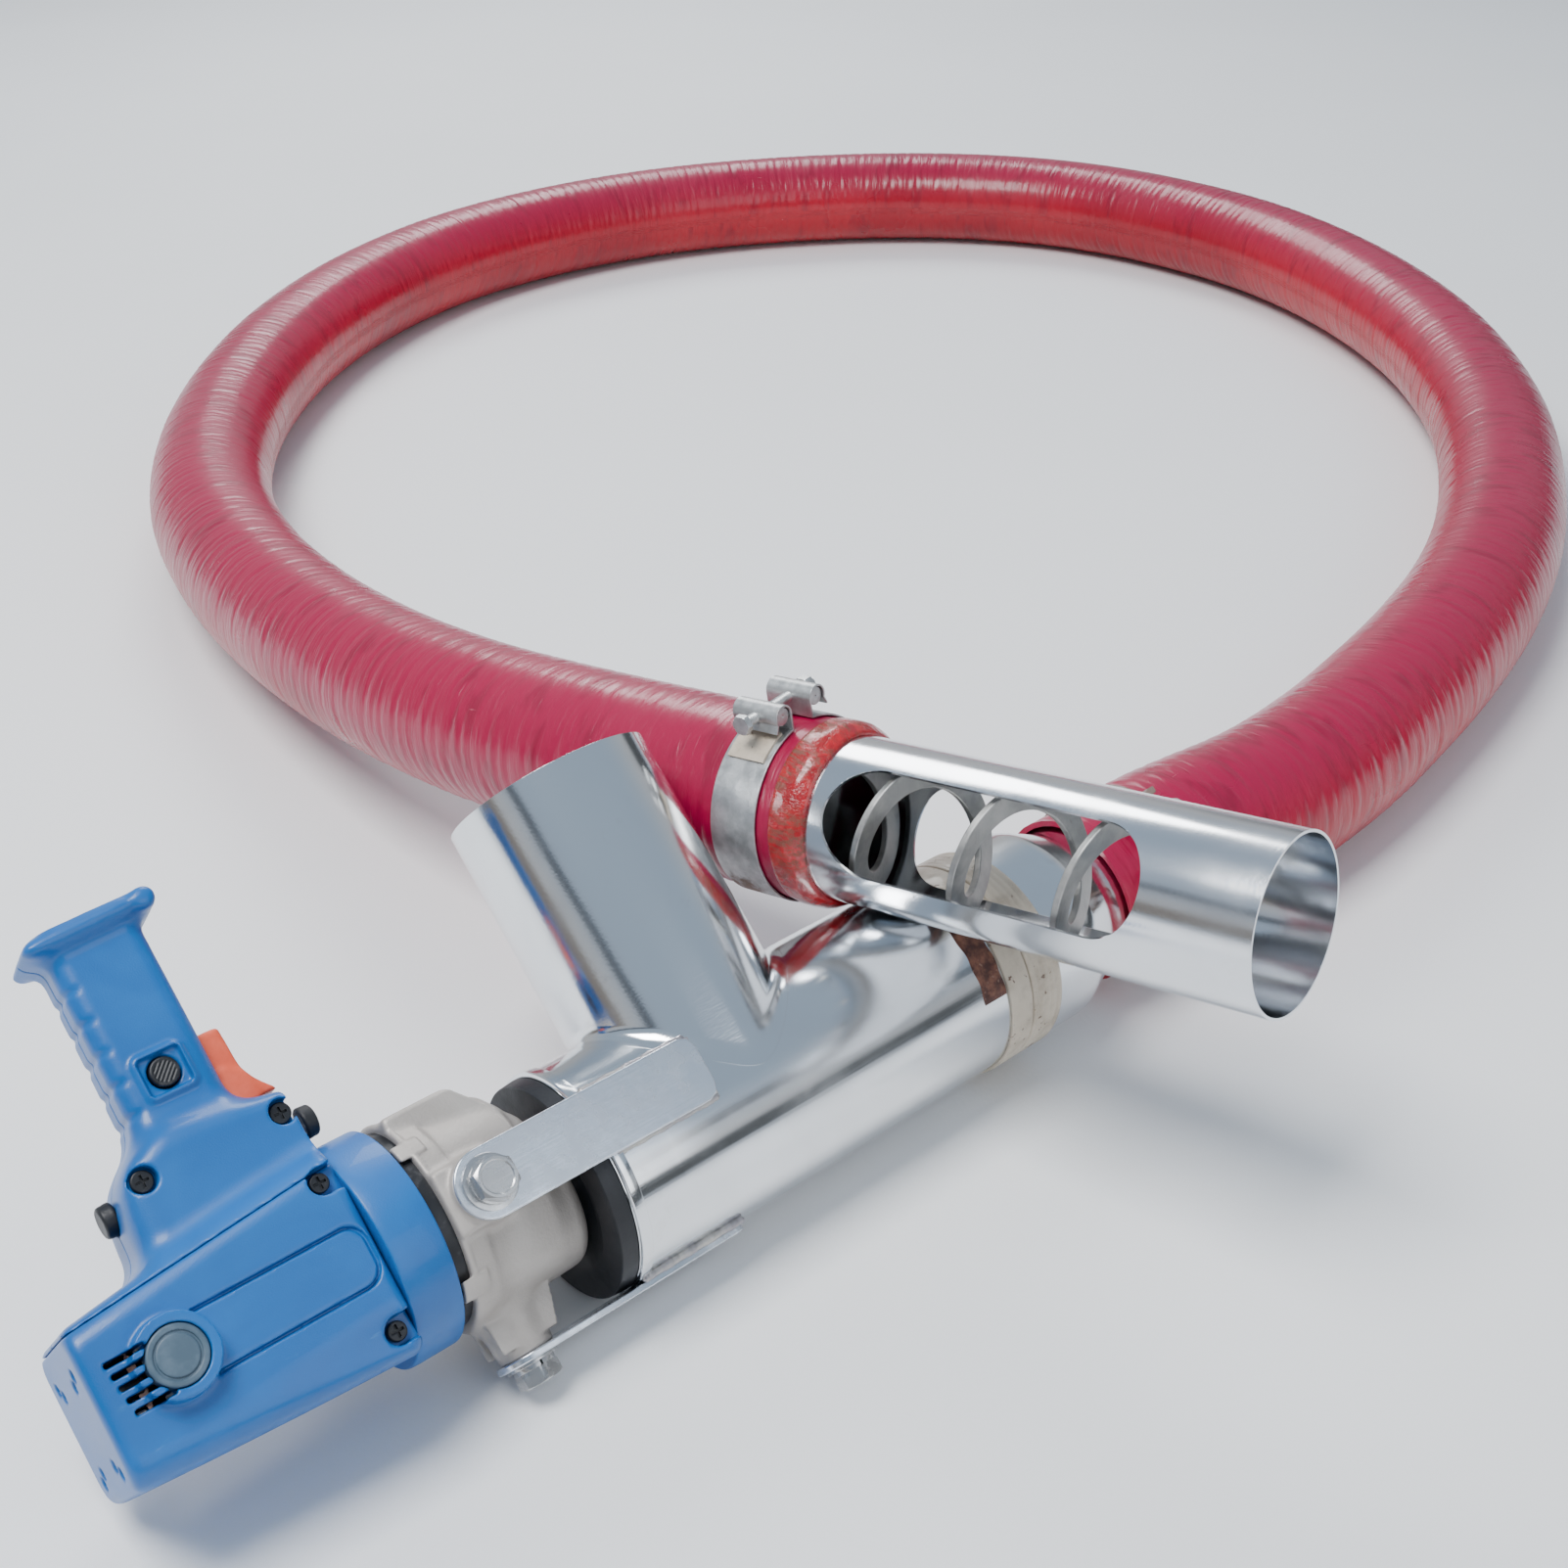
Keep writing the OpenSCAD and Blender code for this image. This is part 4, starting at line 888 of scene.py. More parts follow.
class Casting:
    """Distances in the head's frame on a grid of cells, in millimetres; below zero is metal."""

    def __init__(self, low, high, cell):
        self.low, self.cell = np.array(low, float), cell
        axes = [np.arange(a, b + cell, cell, dtype=np.float32) for a, b in zip(low, high)]
        self.x, self.y, self.z = np.meshgrid(*axes, indexing="ij")

    def block(self, low, high, corner=0.0):
        """A box with rounded edges."""
        middle, half = (np.array(low) + high) / 2, (np.array(high, float) - low) / 2
        places = (self.x, self.y, self.z)
        out = [np.abs(p - m) - h + corner for p, m, h in zip(places, middle, half)]
        far = np.sqrt(sum(np.maximum(o, 0) ** 2 for o in out))
        return far + np.minimum(np.maximum(np.maximum(out[0], out[1]), out[2]), 0) - corner

    def round_bar(self, axis, centre, low, high, r_low, r_high=None, corner=0.0):
        """A cylinder or cone along one axis; the centre gives the other two coordinates."""
        along = getattr(self, axis)
        a, b = [getattr(self, other) for other in "xyz" if other != axis]
        share = np.clip((along - low) / (high - low), 0, 1)
        radius = r_low + ((r_high or r_low) - r_low) * share
        side = np.hypot(a - centre[0], b - centre[1]) - radius
        return eased(side, np.maximum(low - along, along - high), corner)

    def prism(self, outline, half, corner=0.0):
        """A convex outline in X and Y, given anticlockwise, between -half and half in Z."""
        sides = [np.abs(self.z) - half + corner]
        for (ax, ay), (bx, by) in zip(outline, outline[1:] + outline[:1]):
            size = math.hypot(bx - ax, by - ay)
            sides.append(((self.x - ax) * (by - ay) - (self.y - ay) * (bx - ax)) / size + corner)
        return softest(sides, corner) - corner

    def skin(self, name, field, crease=75):
        """The zero surface as a closed mesh of quads, in metres."""
        dims = tuple(n - 1 for n in field.shape)
        total, count, quads = np.zeros(dims + (3,)), np.zeros(dims), []
        for axis in range(3):
            first, second = [k for k in range(3) if k != axis]
            near = np.moveaxis(np.moveaxis(field, axis, 0)[:-1], 0, axis)
            beyond = np.moveaxis(np.moveaxis(field, axis, 0)[1:], 0, axis)
            spots = np.argwhere((near < 0) != (beyond < 0))
            inner = [(spots[:, k] > 0) & (spots[:, k] < dims[k]) for k in (first, second)]
            spots = spots[np.all(inner, axis=0)]
            at = tuple(spots.T)
            crossing = spots.astype(float)
            crossing[:, axis] += near[at] / (near[at] - beyond[at])
            around = []
            for da, db in [(1, 1), (0, 1), (0, 0), (1, 0)]:
                cell = spots.copy()
                cell[:, first] -= da
                cell[:, second] -= db
                np.add.at(total, tuple(cell.T), crossing)
                np.add.at(count, tuple(cell.T), 1)
                around.append(np.ravel_multi_index(tuple(cell.T), dims))
            ring = np.stack(around, 1)
            flip = (near[at] < 0) == (axis == 1)
            ring[flip] = ring[flip][:, ::-1]
            quads.append(ring)
        used = count.ravel() > 0
        index = np.cumsum(used) - 1
        points = total.reshape(-1, 3)[used] / count.ravel()[used][:, None]
        points = (self.low + points * self.cell) / 1000
        return make_piece(name, points, index[np.concatenate(quads)], crease, outward=False)


def eased(first, second, corner):
    """Distance from an edge where two walls, given by their distances, meet in a round."""
    first, second = first + corner, second + corner
    beyond = np.hypot(np.maximum(first, 0), np.maximum(second, 0))
    return beyond + np.minimum(np.maximum(first, second), 0) - corner


def soft_join(a, b, blend):
    """Union of two fields with a fillet of the given size."""
    near = np.maximum(blend - np.abs(a - b), 0) / blend
    return np.minimum(a, b) - near * near * blend / 4


def soft_cut(a, b, blend=0.8):
    """The first field less the second, with the new edge eased."""
    near = np.maximum(blend - np.abs(a + b), 0) / blend
    return np.maximum(a, -b) + near * near * blend / 4


def softest(fields, corner):
    """The common part of several fields, with its outer edges rounded."""
    whole = fields[0]
    for field in fields[1:]:
        whole = soft_cut(whole, -field, 2.4 * corner) if corner else np.maximum(whole, field)
    return whole


gearbox_back, gearbox_front = -172, -105
bolt_x, offset_y = strap_bolt_x * 1000, motor_y * 1000
ear_height = ear_face * 1000


def cast_gearbox():
    form = Casting((-179, -61, -55), (-103, 72, 61), 0.95)
    drum = form.round_bar("x", (offset_y, 0), gearbox_back, gearbox_back + 13, 51, 50, 2)
    slope = form.round_bar("x", (offset_y, 0), gearbox_back, -119, 50, 43, 5)
    nose = form.round_bar("x", (0, 0), gearbox_back, gearbox_front, 37, 34.5, 7)
    edge = [(gearbox_back, 30), (-111, 30), (-111, 37), (-137, 66.6), (gearbox_back, 66.6)]
    top = form.prism(edge, 29.6, 1.2)
    body = soft_join(soft_join(drum, slope, 4), nose, 9)
    body = soft_join(body, top, 2.5)
    pad = form.round_bar("z", (bolt_x, offset_y), 0, ear_height, 16, None, 1.2)
    seat_half, seat_top = 15.5, ear_height - 4
    seat = form.block(
        (gearbox_back, offset_y - seat_half, 0), (bolt_x + 12, offset_y + seat_half, seat_top), 2)
    body = soft_join(body, soft_join(pad, seat, 3), 5)
    foot = form.round_bar("y", (bolt_x, 0), -ear_height, -14, 13.4, 17, 1)
    body = soft_join(body, foot, 8)
    web = [(bolt_x - 17, -20), (bolt_x - 14.5, -53), (bolt_x + 15, -53), (bolt_x + 25, -20)]
    for level in (-11, 0, 11):
        rib = np.maximum(form.prism(web, 60), np.abs(form.z - level) - 1.5)
        body = soft_join(body, rib, 1.6)
    # the drum's rear face is milled; a thin lip runs round it and two square lugs locate it
    body = np.maximum(body, gearbox_back - form.x)
    lip = form.round_bar("x", (offset_y, 0), gearbox_back, gearbox_back + 3, 52.2, None, 1)
    body = soft_join(body, lip, 0.8)
    around = np.hypot(form.y - offset_y, form.z)
    for low, high in [((-177.4, -24, 8), (-164, -15, 60)), ((-177.4, 44, 8), (-164, 52, 60))]:
        lug = np.maximum(form.block(low, high, 0.6), np.maximum(around - 52.4, 49.2 - around))
        body = soft_join(body, lug, 0.8)
    # ways for the spindle, the gears and the strap bolts
    body = soft_cut(body, form.round_bar("x", (0, 0), -200, -90, 21), 0.8)
    shaft = head_place.inverted() @ Vector(joints["intermediate_spin"]["pos_m"]) * 1000
    for way in [
        ("x", (offset_y, 0), -200, -163, 47), ("x", (0, 0), -200, -148, 29.2),
        ("x", (shaft.y, shaft.z), -200, -148, 12.3),
        ("z", (bolt_x, offset_y), ear_height - 24, 80, 6.2),
        ("y", (bolt_x, 0), -80, 24 - ear_height, 6.2),
    ]:
        body = soft_cut(body, form.round_bar(*way), 0.5)
    return form.skin("cast_gearbox", body)


def cast_aluminium():
    """Tumbled sand casting: pale warm grey, fine grit, slight swirls and a few dark pits."""
    cast = Finish("cast_gearbox")
    grit = cast.noise(620, 3, 0.6)
    swirl = cast.noise(24, 4, 0.5, bend=0.6)
    stain = cast.noise(48, 5, 0.65).between(0.60, 0.78)
    grey = cast.mix(swirl.between(0.35, 0.7), colour(0.40, 0.365, 0.335), colour(0.50, 0.465, 0.43))
    grey = cast.mix(stain * 0.35, grey, colour(0.30, 0.27, 0.24))
    return cast.set({
        "Base Color": grey,
        "Metallic": 0.35,
        "Roughness": 0.42 + 0.14 * swirl + 0.1 * stain,
        "Normal": cast.relief(grit * 0.7 + swirl * 0.3, 0.00035),
    })


finish_piece(cast_gearbox(), head_place, cast_aluminium(), "root", "cast_gearbox", "gearbox")

# ---- Motor housing and handle -----------------------------------------------
# Injection-moulded blue nylon. The motor shell and the two halves of the spade
# handle come from one flowing form, cut along their real parting lines.
shell_cell = 0.9
motor_back, motor_front, ring_front = -334, -204, -178
motor_level = 12.5
brush_x, grip_x = -299.5, -244
case_screw_x, case_screw_out = -213, 36
pocket_xs, pocket_y = (-209, -275), 90
button_y, plug_y = 130, 84
drill_form = Casting((motor_back - 2, -42, -56), (motor_front + 26, 213, 56), shell_cell)


def motor_block(form):
    """The shell narrows to the rear: the same form with its top and sides drawn in."""
    share = np.clip((form.x - motor_back) / (motor_front - motor_back), 0, 1)
    middle = motor_level + 4.5 * share
    half_y = 36.3 + 12.9 * share + 0.8 * np.sin(np.pi * share)
    half_z = 41.6 + 6.2 * share
    body = eased(np.abs(form.y - middle) - half_y, np.abs(form.z) - half_z, 13)
    return softest([body, motor_back - form.x, form.x - (motor_front - 0.4)], 2.5)


def handle_block(form):
    """Grip, shoulder and the tilted flange at the top, with finger ribs down the grip's rear."""
    grip_half = 19.6 - 2.2 * np.clip((form.y - 120) / 80, 0, 1)
    ribs = 1.1 * np.maximum(0, np.cos(2 * np.pi * (form.y - 118) / 15.5)) ** 3
    ribs = ribs * ((form.y > 112) & (form.y < 188)) * np.clip((-form.x - 258) / 5, 0, 1)
    deep = np.abs(form.x - grip_x + 0.5 * np.clip((150 - form.y) / 60, 0, 1)) - 22.4
    grip = eased(deep, np.abs(form.z) - grip_half, 9) + ribs
    grip = np.maximum(np.maximum(grip, form.y - 206), 20 - form.y)
    shoulder = form.prism(
        [(-289.5, 40), (-192.5, 40), (-192.5, 101.5), (-212, 106), (-270, 109), (-288, 93)], 30.4, 6)
    lean = form.y - 205.2 - 0.055 * (form.x - grip_x)
    wide = np.abs(form.z) - 24.4
    flange = softest([np.abs(lean) - 4.2, np.abs(form.x - grip_x) - 31.4, wide], 3)
    tip = softest([np.hypot(form.x + 217.5, lean + 0.8) - 5.3, wide], 2)
    head = soft_join(flange, tip, 3)
    return soft_join(soft_join(shoulder, grip, 13), head, 9)


def side_bar(form, side, centre, low, high, radius):
    """A cylinder that stands out of one side of the drill, between two distances from its middle."""
    return form.round_bar("z", centre, *sorted((low * side, high * side)), radius)


def moulded_drill(form):
    """The outside of the drill: shell, handle, bosses, frames, panel lines and slots."""
    whole = soft_join(motor_block(form), handle_block(form), 12)
    for side in (-1, 1):
        whole = soft_join(whole, side_bar(form, side, (brush_x, offset_y), 20, 53, 18), 2.2)
    # raised frame round the lock button, on one side only
    frame_edge = eased(np.abs(form.x - grip_x) - 12.4, np.abs(form.y - button_y) - 11.4, 4.5)
    rim = softest([frame_edge, np.abs(form.z - 17.4) - 4.2], 1)
    whole = soft_join(whole, rim, 2.2)
    whole = soft_cut(whole, softest([frame_edge + 2.4, 18.6 - form.z], 0.8), 0.8)
    # panel lines, flute, cooling slots and outlets
    deep = np.abs(form.z) - 47.6 + 0.05 * (motor_front - form.x)
    panel = np.abs(eased(np.abs(form.x + 254) - 46, np.abs(form.y - 16.7) - 13.8, 9)) - 0.8
    boss_clear = 19.2 - np.hypot(form.x - brush_x, form.y - offset_y)
    whole = soft_cut(whole, np.maximum(np.maximum(panel, -deep - 2.4), boss_clear), 0.7)
    aft = form.x + 300
    flute = np.hypot(form.y + 20 + 0.05 * aft, np.abs(form.z) - 69.5) - 24 - 0.02 * aft
    whole = soft_cut(whole, np.maximum(flute, form.x + 211), 3)
    for k in range(5):
        level, shift = motor_level + 15 - 5.6 * k, 0.8 * k
        slot = form.block((-325 + shift, level - 1.35, -60), (-309 + shift, level + 1.35, 60), 0.4)
        whole = soft_cut(whole, np.maximum(slot, 20 - np.abs(form.z)), 0.5)
    for y, z in [(-9, 17), (-13, 24), (27, 17), (31, 24)]:
        for side in (-1, 1):
            whole = soft_cut(whole, form.round_bar("x", (y, z * side), -340, -324, 3.0), 0.3)
    return whole


def carve_seats(form, whole):
    """The seats for screws, caps, plugs, trigger and button, and the room for the rotor."""
    for side in (-1, 1):
        whole = soft_cut(whole, side_bar(form, side, (brush_x, offset_y), 44.2, 60, 13.4), 0.6)
        for y in (offset_y - case_screw_out, offset_y + case_screw_out):
            low, high = sorted((37.6 * side, 60 * side))
            whole = soft_cut(whole, form.round_bar("z", (case_screw_x, y), low, high, 6.4), 1)
            whole = soft_cut(whole, form.block((case_screw_x, y - 6.4, low), (-202, y + 6.4, high)), 1)
        for x in pocket_xs:
            whole = soft_cut(whole, side_bar(form, side, (x, pocket_y), 22.6, 40, 6.2), 1)
    for low, high in [(-196.2, -180), (-300, -285.8)]:
        whole = soft_cut(whole, form.round_bar("x", (plug_y, 0), low, high, 8.3), 0.6)
    whole = soft_cut(whole, form.block((-246, 102.4, -8.5), (-180, 141.6, 8.5), 0.5), 0.6)
    whole = soft_cut(whole, form.round_bar("z", (grip_x, button_y), 8, 40, 7.4), 0.5)
    for rear, radius in [(-328.5, 26), (-281, 37), (-225, 41)]:
        whole = soft_cut(whole, form.round_bar("x", (offset_y, 0), rear, -190, radius), 0.5)
    return soft_cut(whole, form.block((-262, 70, -15), (-226, 195, 15), 2), 0.5)


drill_whole = carve_seats(drill_form, moulded_drill(drill_form))
# the housing ends at the shoulder's foot; the handle sits on it and splits down its middle
parting = drill_form.y - 46 - 0.10 * (drill_form.x - motor_back)
seam_gap = 0.06
housing_field = soft_cut(drill_whole, -(parting + seam_gap), 1.3)
above = soft_cut(drill_whole, parting - seam_gap, 1.3)
ring_clear = drill_form.x - (motor_front - 0.4)


def blue_nylon():
    """Glass-filled nylon: an even satin blue with a spark-eroded grain and pale scuffs."""
    skin = Finish("blue_plastic")
    grain = skin.noise(1500, 2)
    wipe = skin.noise(10, 4, 0.6, bend=0.5)
    scuff = skin.noise(1.0, 5, 0.65, place=skin.stretched(skin.place, (30, 130, 130), (0.2, 0.5, 0.3)))
    worn = scuff.between(0.68, 0.76)
    blue = skin.mix(wipe.between(0.35, 0.7), colour(0.0005, 0.100, 0.35), colour(0.001, 0.130, 0.43))
    blue = skin.mix(worn * 0.25, blue, colour(0.10, 0.30, 0.60))
    return skin.set({
        "Base Color": blue,
        "Roughness": 0.34 + 0.14 * wipe.between(0.3, 0.75) + 0.1 * worn,
        "Coat Weight": 0.12,
        "Normal": skin.relief(grain * 0.5 + wipe * 0.5, 0.00018),
    })


nylon = blue_nylon()
handle_field = np.maximum(above, ring_clear)
for name, field, node in [
    ("motor_shell", housing_field, "motor_housing"),
    ("right_handle_half", np.maximum(handle_field, seam_gap - drill_form.z), "handle_right"),
    ("left_handle_half", np.maximum(handle_field, seam_gap + drill_form.z), "handle_left"),
]:
    finish_piece(drill_form.skin(name, field), head_place, nylon, "root", "blue_plastic", node)

# ---- Front ring -------------------------------------------------------------
# The blue ring that joins the motor shell to the gearbox, with eased edges.
ring_low, ring_high, ring_bore, ring_r = motor_front / 1000, ring_front / 1000, 0.0412, 0.0539
ring_outline = rounded([
    (ring_low, ring_bore), (ring_low, ring_r - 0.0003), (ring_low + 0.005, ring_r),
    (ring_high - 0.0012, ring_r), (ring_high - 0.0004, ring_bore),
], 0.0014)
front_ring = turned("motor_front_ring", ring_outline, 144)
ring_place = head_place @ shifted(0, motor_y, 0)
finish_piece(front_ring, ring_place, nylon, "root", "blue_plastic", "front_ring")

# ---- Screws, plugs and caps of the drill ------------------------------------
# Small parts pressed from steel or moulded in nylon. Each kind is shaped once
# as a fine field, then set out on its places by a point grid of instances.


class Growth(Tree):
    """A Geometry Nodes tree that grows one piece from named sizes; it is run once and baked."""

    def __init__(self, name, sizes):
        self.group = bpy.data.node_groups.new(name, "GeometryNodeTree")
        super().__init__(self.group)
        self.sizes, self.sockets = sizes, {}
        for label, value in sizes.items():
            kind = "NodeSocketInt" if isinstance(value, int) else "NodeSocketFloat"
            kind = "NodeSocketObject" if isinstance(value, bpy.types.Object) else kind
            self.sockets[label] = self.socket(label, "INPUT", kind)
        self.socket("Geometry", "OUTPUT", "NodeSocketGeometry")
        self.given = self.group.nodes.new("NodeGroupInput")
        self.result = self.group.nodes.new("NodeGroupOutput")

    def socket(self, label, way, kind):
        return self.group.interface.new_socket(label, in_out=way, socket_type=kind)

    def size(self, label):
        return Value(self, self.given.outputs[label])

    def source(self, label):
        return self.node("GeometryNodeObjectInfo", {}, {"Object": self.size(label)}, "Geometry")

    def grown(self, name, geometry, finish):
        """Bakes the geometry, with its instances realised and its material set, as a new object."""
        real = self.node("GeometryNodeRealizeInstances", {}, {"Geometry": geometry})
        smooth = self.node("GeometryNodeSetShadeSmooth", {}, {"Geometry": real})
        paint = {"Geometry": smooth, "Material": finish.material}
        self.feed(self.result.inputs["Geometry"], self.node("GeometryNodeSetMaterial", {}, paint))
        seed = make_piece(name + "_seed", [(0, 0, 0)], [])
        growth = seed.modifiers.new("growth", "NODES")
        growth.node_group = self.group
        for label, value in self.sizes.items():
            growth[self.sockets[label].identifier] = value
        depsgraph = bpy.context.evaluated_depsgraph_get()
        shape = bpy.data.meshes.new_from_object(seed.evaluated_get(depsgraph))
        seed.modifiers.remove(growth)
        bpy.data.objects.remove(seed)
        shape.name = name
        made = bpy.data.objects.new(name, shape)
        bpy.context.scene.collection.objects.link(made)
        return made


def set_out(name, part, places, finish):
    """Copies of a part, one on each place, as one baked piece. The part itself goes."""
    grid = make_piece(name + "_places", [place.translation for place in places], [])
    turns = grid.data.attributes.new("turn", "FLOAT_VECTOR", "POINT")
    for k, place in enumerate(places):
        turns.data[k].vector = place.to_euler()
    growth = Growth(name, {"Places": grid, "Part": part})
    vector = {"data_type": "FLOAT_VECTOR"}
    turn = growth.node("GeometryNodeInputNamedAttribute", vector, {"Name": "turn"})
    spun = growth.node("FunctionNodeEulerToRotation", {}, {"Euler": turn})
    copies = growth.node("GeometryNodeInstanceOnPoints", {}, {
        "Points": growth.source("Places"), "Instance": growth.source("Part"), "Rotation": spun})
    made = growth.grown(name, copies, finish)
    for spent in (grid, part):
        bpy.data.objects.remove(spent)
    made.data.set_sharp_from_angle(angle=math.radians(40))
    return made


def rubbed_finish(name, dark, light, span, metal, rough, vary, grain, coarse=0.6, depth=0.0002):
    """A small part's finish: two tones that a worn grain mixes over a span, and a roughness."""
    skin = Finish(name)
    wear = skin.noise(grain, 4, coarse)
    return skin.set({
        "Base Color": skin.mix(wear.between(*span), colour(*dark), colour(*light)),
        "Metallic": metal,
        "Roughness": rough + vary * wear,
        "Normal": skin.relief(wear, depth),
    })


def screw_part(radius, thick, shank_r, shank_len):
    """A domed head with a cross recess, its top at zero, on a plain shank."""
    form = Casting((-radius - 1, -radius - 1, -thick - 3), (radius + 1, radius + 1, 1), 0.16)
    head = form.round_bar("z", (0, 0), -thick, 0, radius, None, 0.9)
    for wide, long in [(3.0, 0.6), (0.6, 3.0)]:
        head = soft_cut(head, form.block((-wide, -long, -1.8), (wide, long, 2), 0.1), 0.12)
    top = form.skin("screw_head", head, 50)
    low, high, out = -(thick + shank_len) / 1000, -(thick - 0.5) / 1000, shank_r / 1000
    shank = lathe("screw_shank", [(low, 0.0003), (low, out), (high, out), (high, 0.0003)], 32)
    return joined("screw", [top, shank])


def both_sides(x, y, z):
    """A place facing out of the drill's side, and the same on its other side."""
    spot = shifted(x / 1000, y / 1000, z / 1000)
    other = shifted(x / 1000, y / 1000, -z / 1000) @ quarter_turns(2, "X")
    return [head_place @ spot, head_place @ other]


# blackened screws and matt black nylon, with a little wear
black_nylon = rubbed_finish(
    "dark_screws", (0.012, 0.013, 0.016), (0.05, 0.05, 0.055), (0.55, 0.75), 0.2, 0.30, 0.2, 160)
case_places = [
    place for out in (-case_screw_out, case_screw_out)
    for place in both_sides(case_screw_x, offset_y + out, 41.6)
]
pocket_places = [place for x in pocket_xs for place in both_sides(x, pocket_y, 25.6)]
for name, part, places, node in [
    ("case_screws", screw_part(4.6, 3.4, 2.1, 14), case_places, "housing_screws"),
    ("grip_screws", screw_part(5.1, 3.0, 2.1, 12), pocket_places, "handle_screws"),
]:
    screws = set_out(name, part, places, black_nylon)
    finish_piece(screws, in_place, black_nylon, "root", "dark_screws", node)


def brush_cap_part():
    """A round cap with a ring groove, in which a coin turns it."""
    form = Casting((-15, -15, -10), (15, 15, 1.5), 0.42)
    cap = form.round_bar("z", (0, 0), -8.7, 0, 13, None, 1.1)
    round_about = np.hypot(form.x, form.y)
    cap = soft_cut(cap, np.maximum(np.abs(round_about - 9.5) - 0.5, -1.0 - form.z), 0.5)
    return form.skin("brush_cap", cap, 50)


slate_nylon = rubbed_finish(
    "slate_plastic", (0.055, 0.095, 0.135), (0.09, 0.14, 0.19), (0.4, 0.7), 0.0, 0.36, 0.2, 90)
cap_places = both_sides(brush_x, offset_y, 52.8)
brush_caps = set_out("coin_caps", brush_cap_part(), cap_places, slate_nylon)
finish_piece(brush_caps, in_place, slate_nylon, "root", "slate_plastic", "brush_caps")


def plug_part():
    """A low, domed rubber plug, slightly tapered."""
    form = Casting((-10, -10, -6), (10, 10, 5), 0.4)
    plug = form.round_bar("z", (0, 0), -4, 2.9, 8, 7.4, 1.6)
    return form.skin("plug", plug, 60)


plug_places = [
    head_place @ shifted(x, plug_y / 1000, 0) @ quarter_turns(way, "Y")
    for x, way in [(-0.192, 1), (-0.290, -1)]
]
plugs = set_out("rubber_plugs", plug_part(), plug_places, rubber)
finish_piece(plugs, in_place, rubber, "root", "black_rubber", "shoulder_plugs")

# ---- Trigger and lock button ------------------------------------------------
# The trigger is moulded in orange nylon and slides in the grip. The black
# button beside it locks it on; it has a dished, ridged face.


def moulded_trigger():
    """A blade with a toe at its foot and a hollow for the finger."""
    form = Casting((-240, 101, -10), (-194, 143, 10), 0.5)
    bar = form.prism([(-238, 103.2), (-208.5, 103.2), (-210.8, 140.8), (-238, 140.8)], 7.8, 1)
    toe = form.prism([(-225, 103.2), (-196.6, 103.2), (-199, 107), (-216, 121), (-225, 121)], 7.8, 1)
    grip = soft_join(bar, toe, 4)
    hollow = np.hypot(form.x + 180, form.y - 126) - 29.2
    return form.skin("trigger_blade", soft_cut(grip, hollow, 2), 60)


orange_nylon = rubbed_finish(
    "orange_plastic", (0.70, 0.085, 0.035), (0.82, 0.13, 0.06), (0.35, 0.7), 0.0, 0.36, 0.16, 60)
finish_piece(moulded_trigger(), head_place, orange_nylon, "trigger", "orange_plastic", "trigger")


def moulded_button():
    """A round button with slanting ridges across its face."""
    form = Casting((-252, 122, 12), (-236, 138, 23), 0.32)
    button = form.round_bar("z", (grip_x, button_y), 14.4, 20.9, 6.8, None, 1)
    ridges = np.maximum(np.abs((form.x - form.y + 374) % 2.4 - 1.2) - 0.35, 20.4 - form.z)
    inside = np.hypot(form.x - grip_x, form.y - button_y) - 5
    return form.skin("lock_on_button", soft_cut(button, np.maximum(ridges, inside), 0.3), 60)


lock_button = moulded_button()
finish_piece(lock_button, head_place, black_nylon, "lock_button", "black_plastic", "lock_button")

# ---- Spirals ----------------------------------------------------------------
# The working ends of the spiral: the same flat bar, with its edges rolled round.
# Each turns as one piece. Its pitch and size are the bar's; its start is read
# from the solid that it stands for.
bar_wide, bar_thick, spiral_mean_r, spiral_pitch = 0.013, 0.004, 0.0315, 0.060
up_intake = -Vector((to_hose.x * to_hose.z, to_hose.y * to_hose.z, to_hose.z**2 - 1)).normalized()
intake_x = to_hose.cross(up_intake).normalized()
intake_y = to_hose.cross(intake_x)
intake_place = Matrix((intake_x, intake_y, to_hose)).transposed().to_4x4()
intake_place.translation = intake_mouth
along_head = head_place @ Matrix(((0, 0, 1, 0), (1, 0, 0, 0), (0, 1, 0, 0), (0, 0, 0, 1)))


def spiral_run(node, place):
    """Where a solid spiral starts and ends along a place's Z, and the angle of its start."""
    spots = [place.inverted() @ node.matrix_world @ point.co for point in node.data.vertices]
    spots.sort(key=lambda spot: spot.z)
    first = (spots[0] + spots[1]) / 2
    return spots[0].z + bar_thick / 2, spots[-1].z - bar_thick / 2, math.atan2(first.y, first.x)


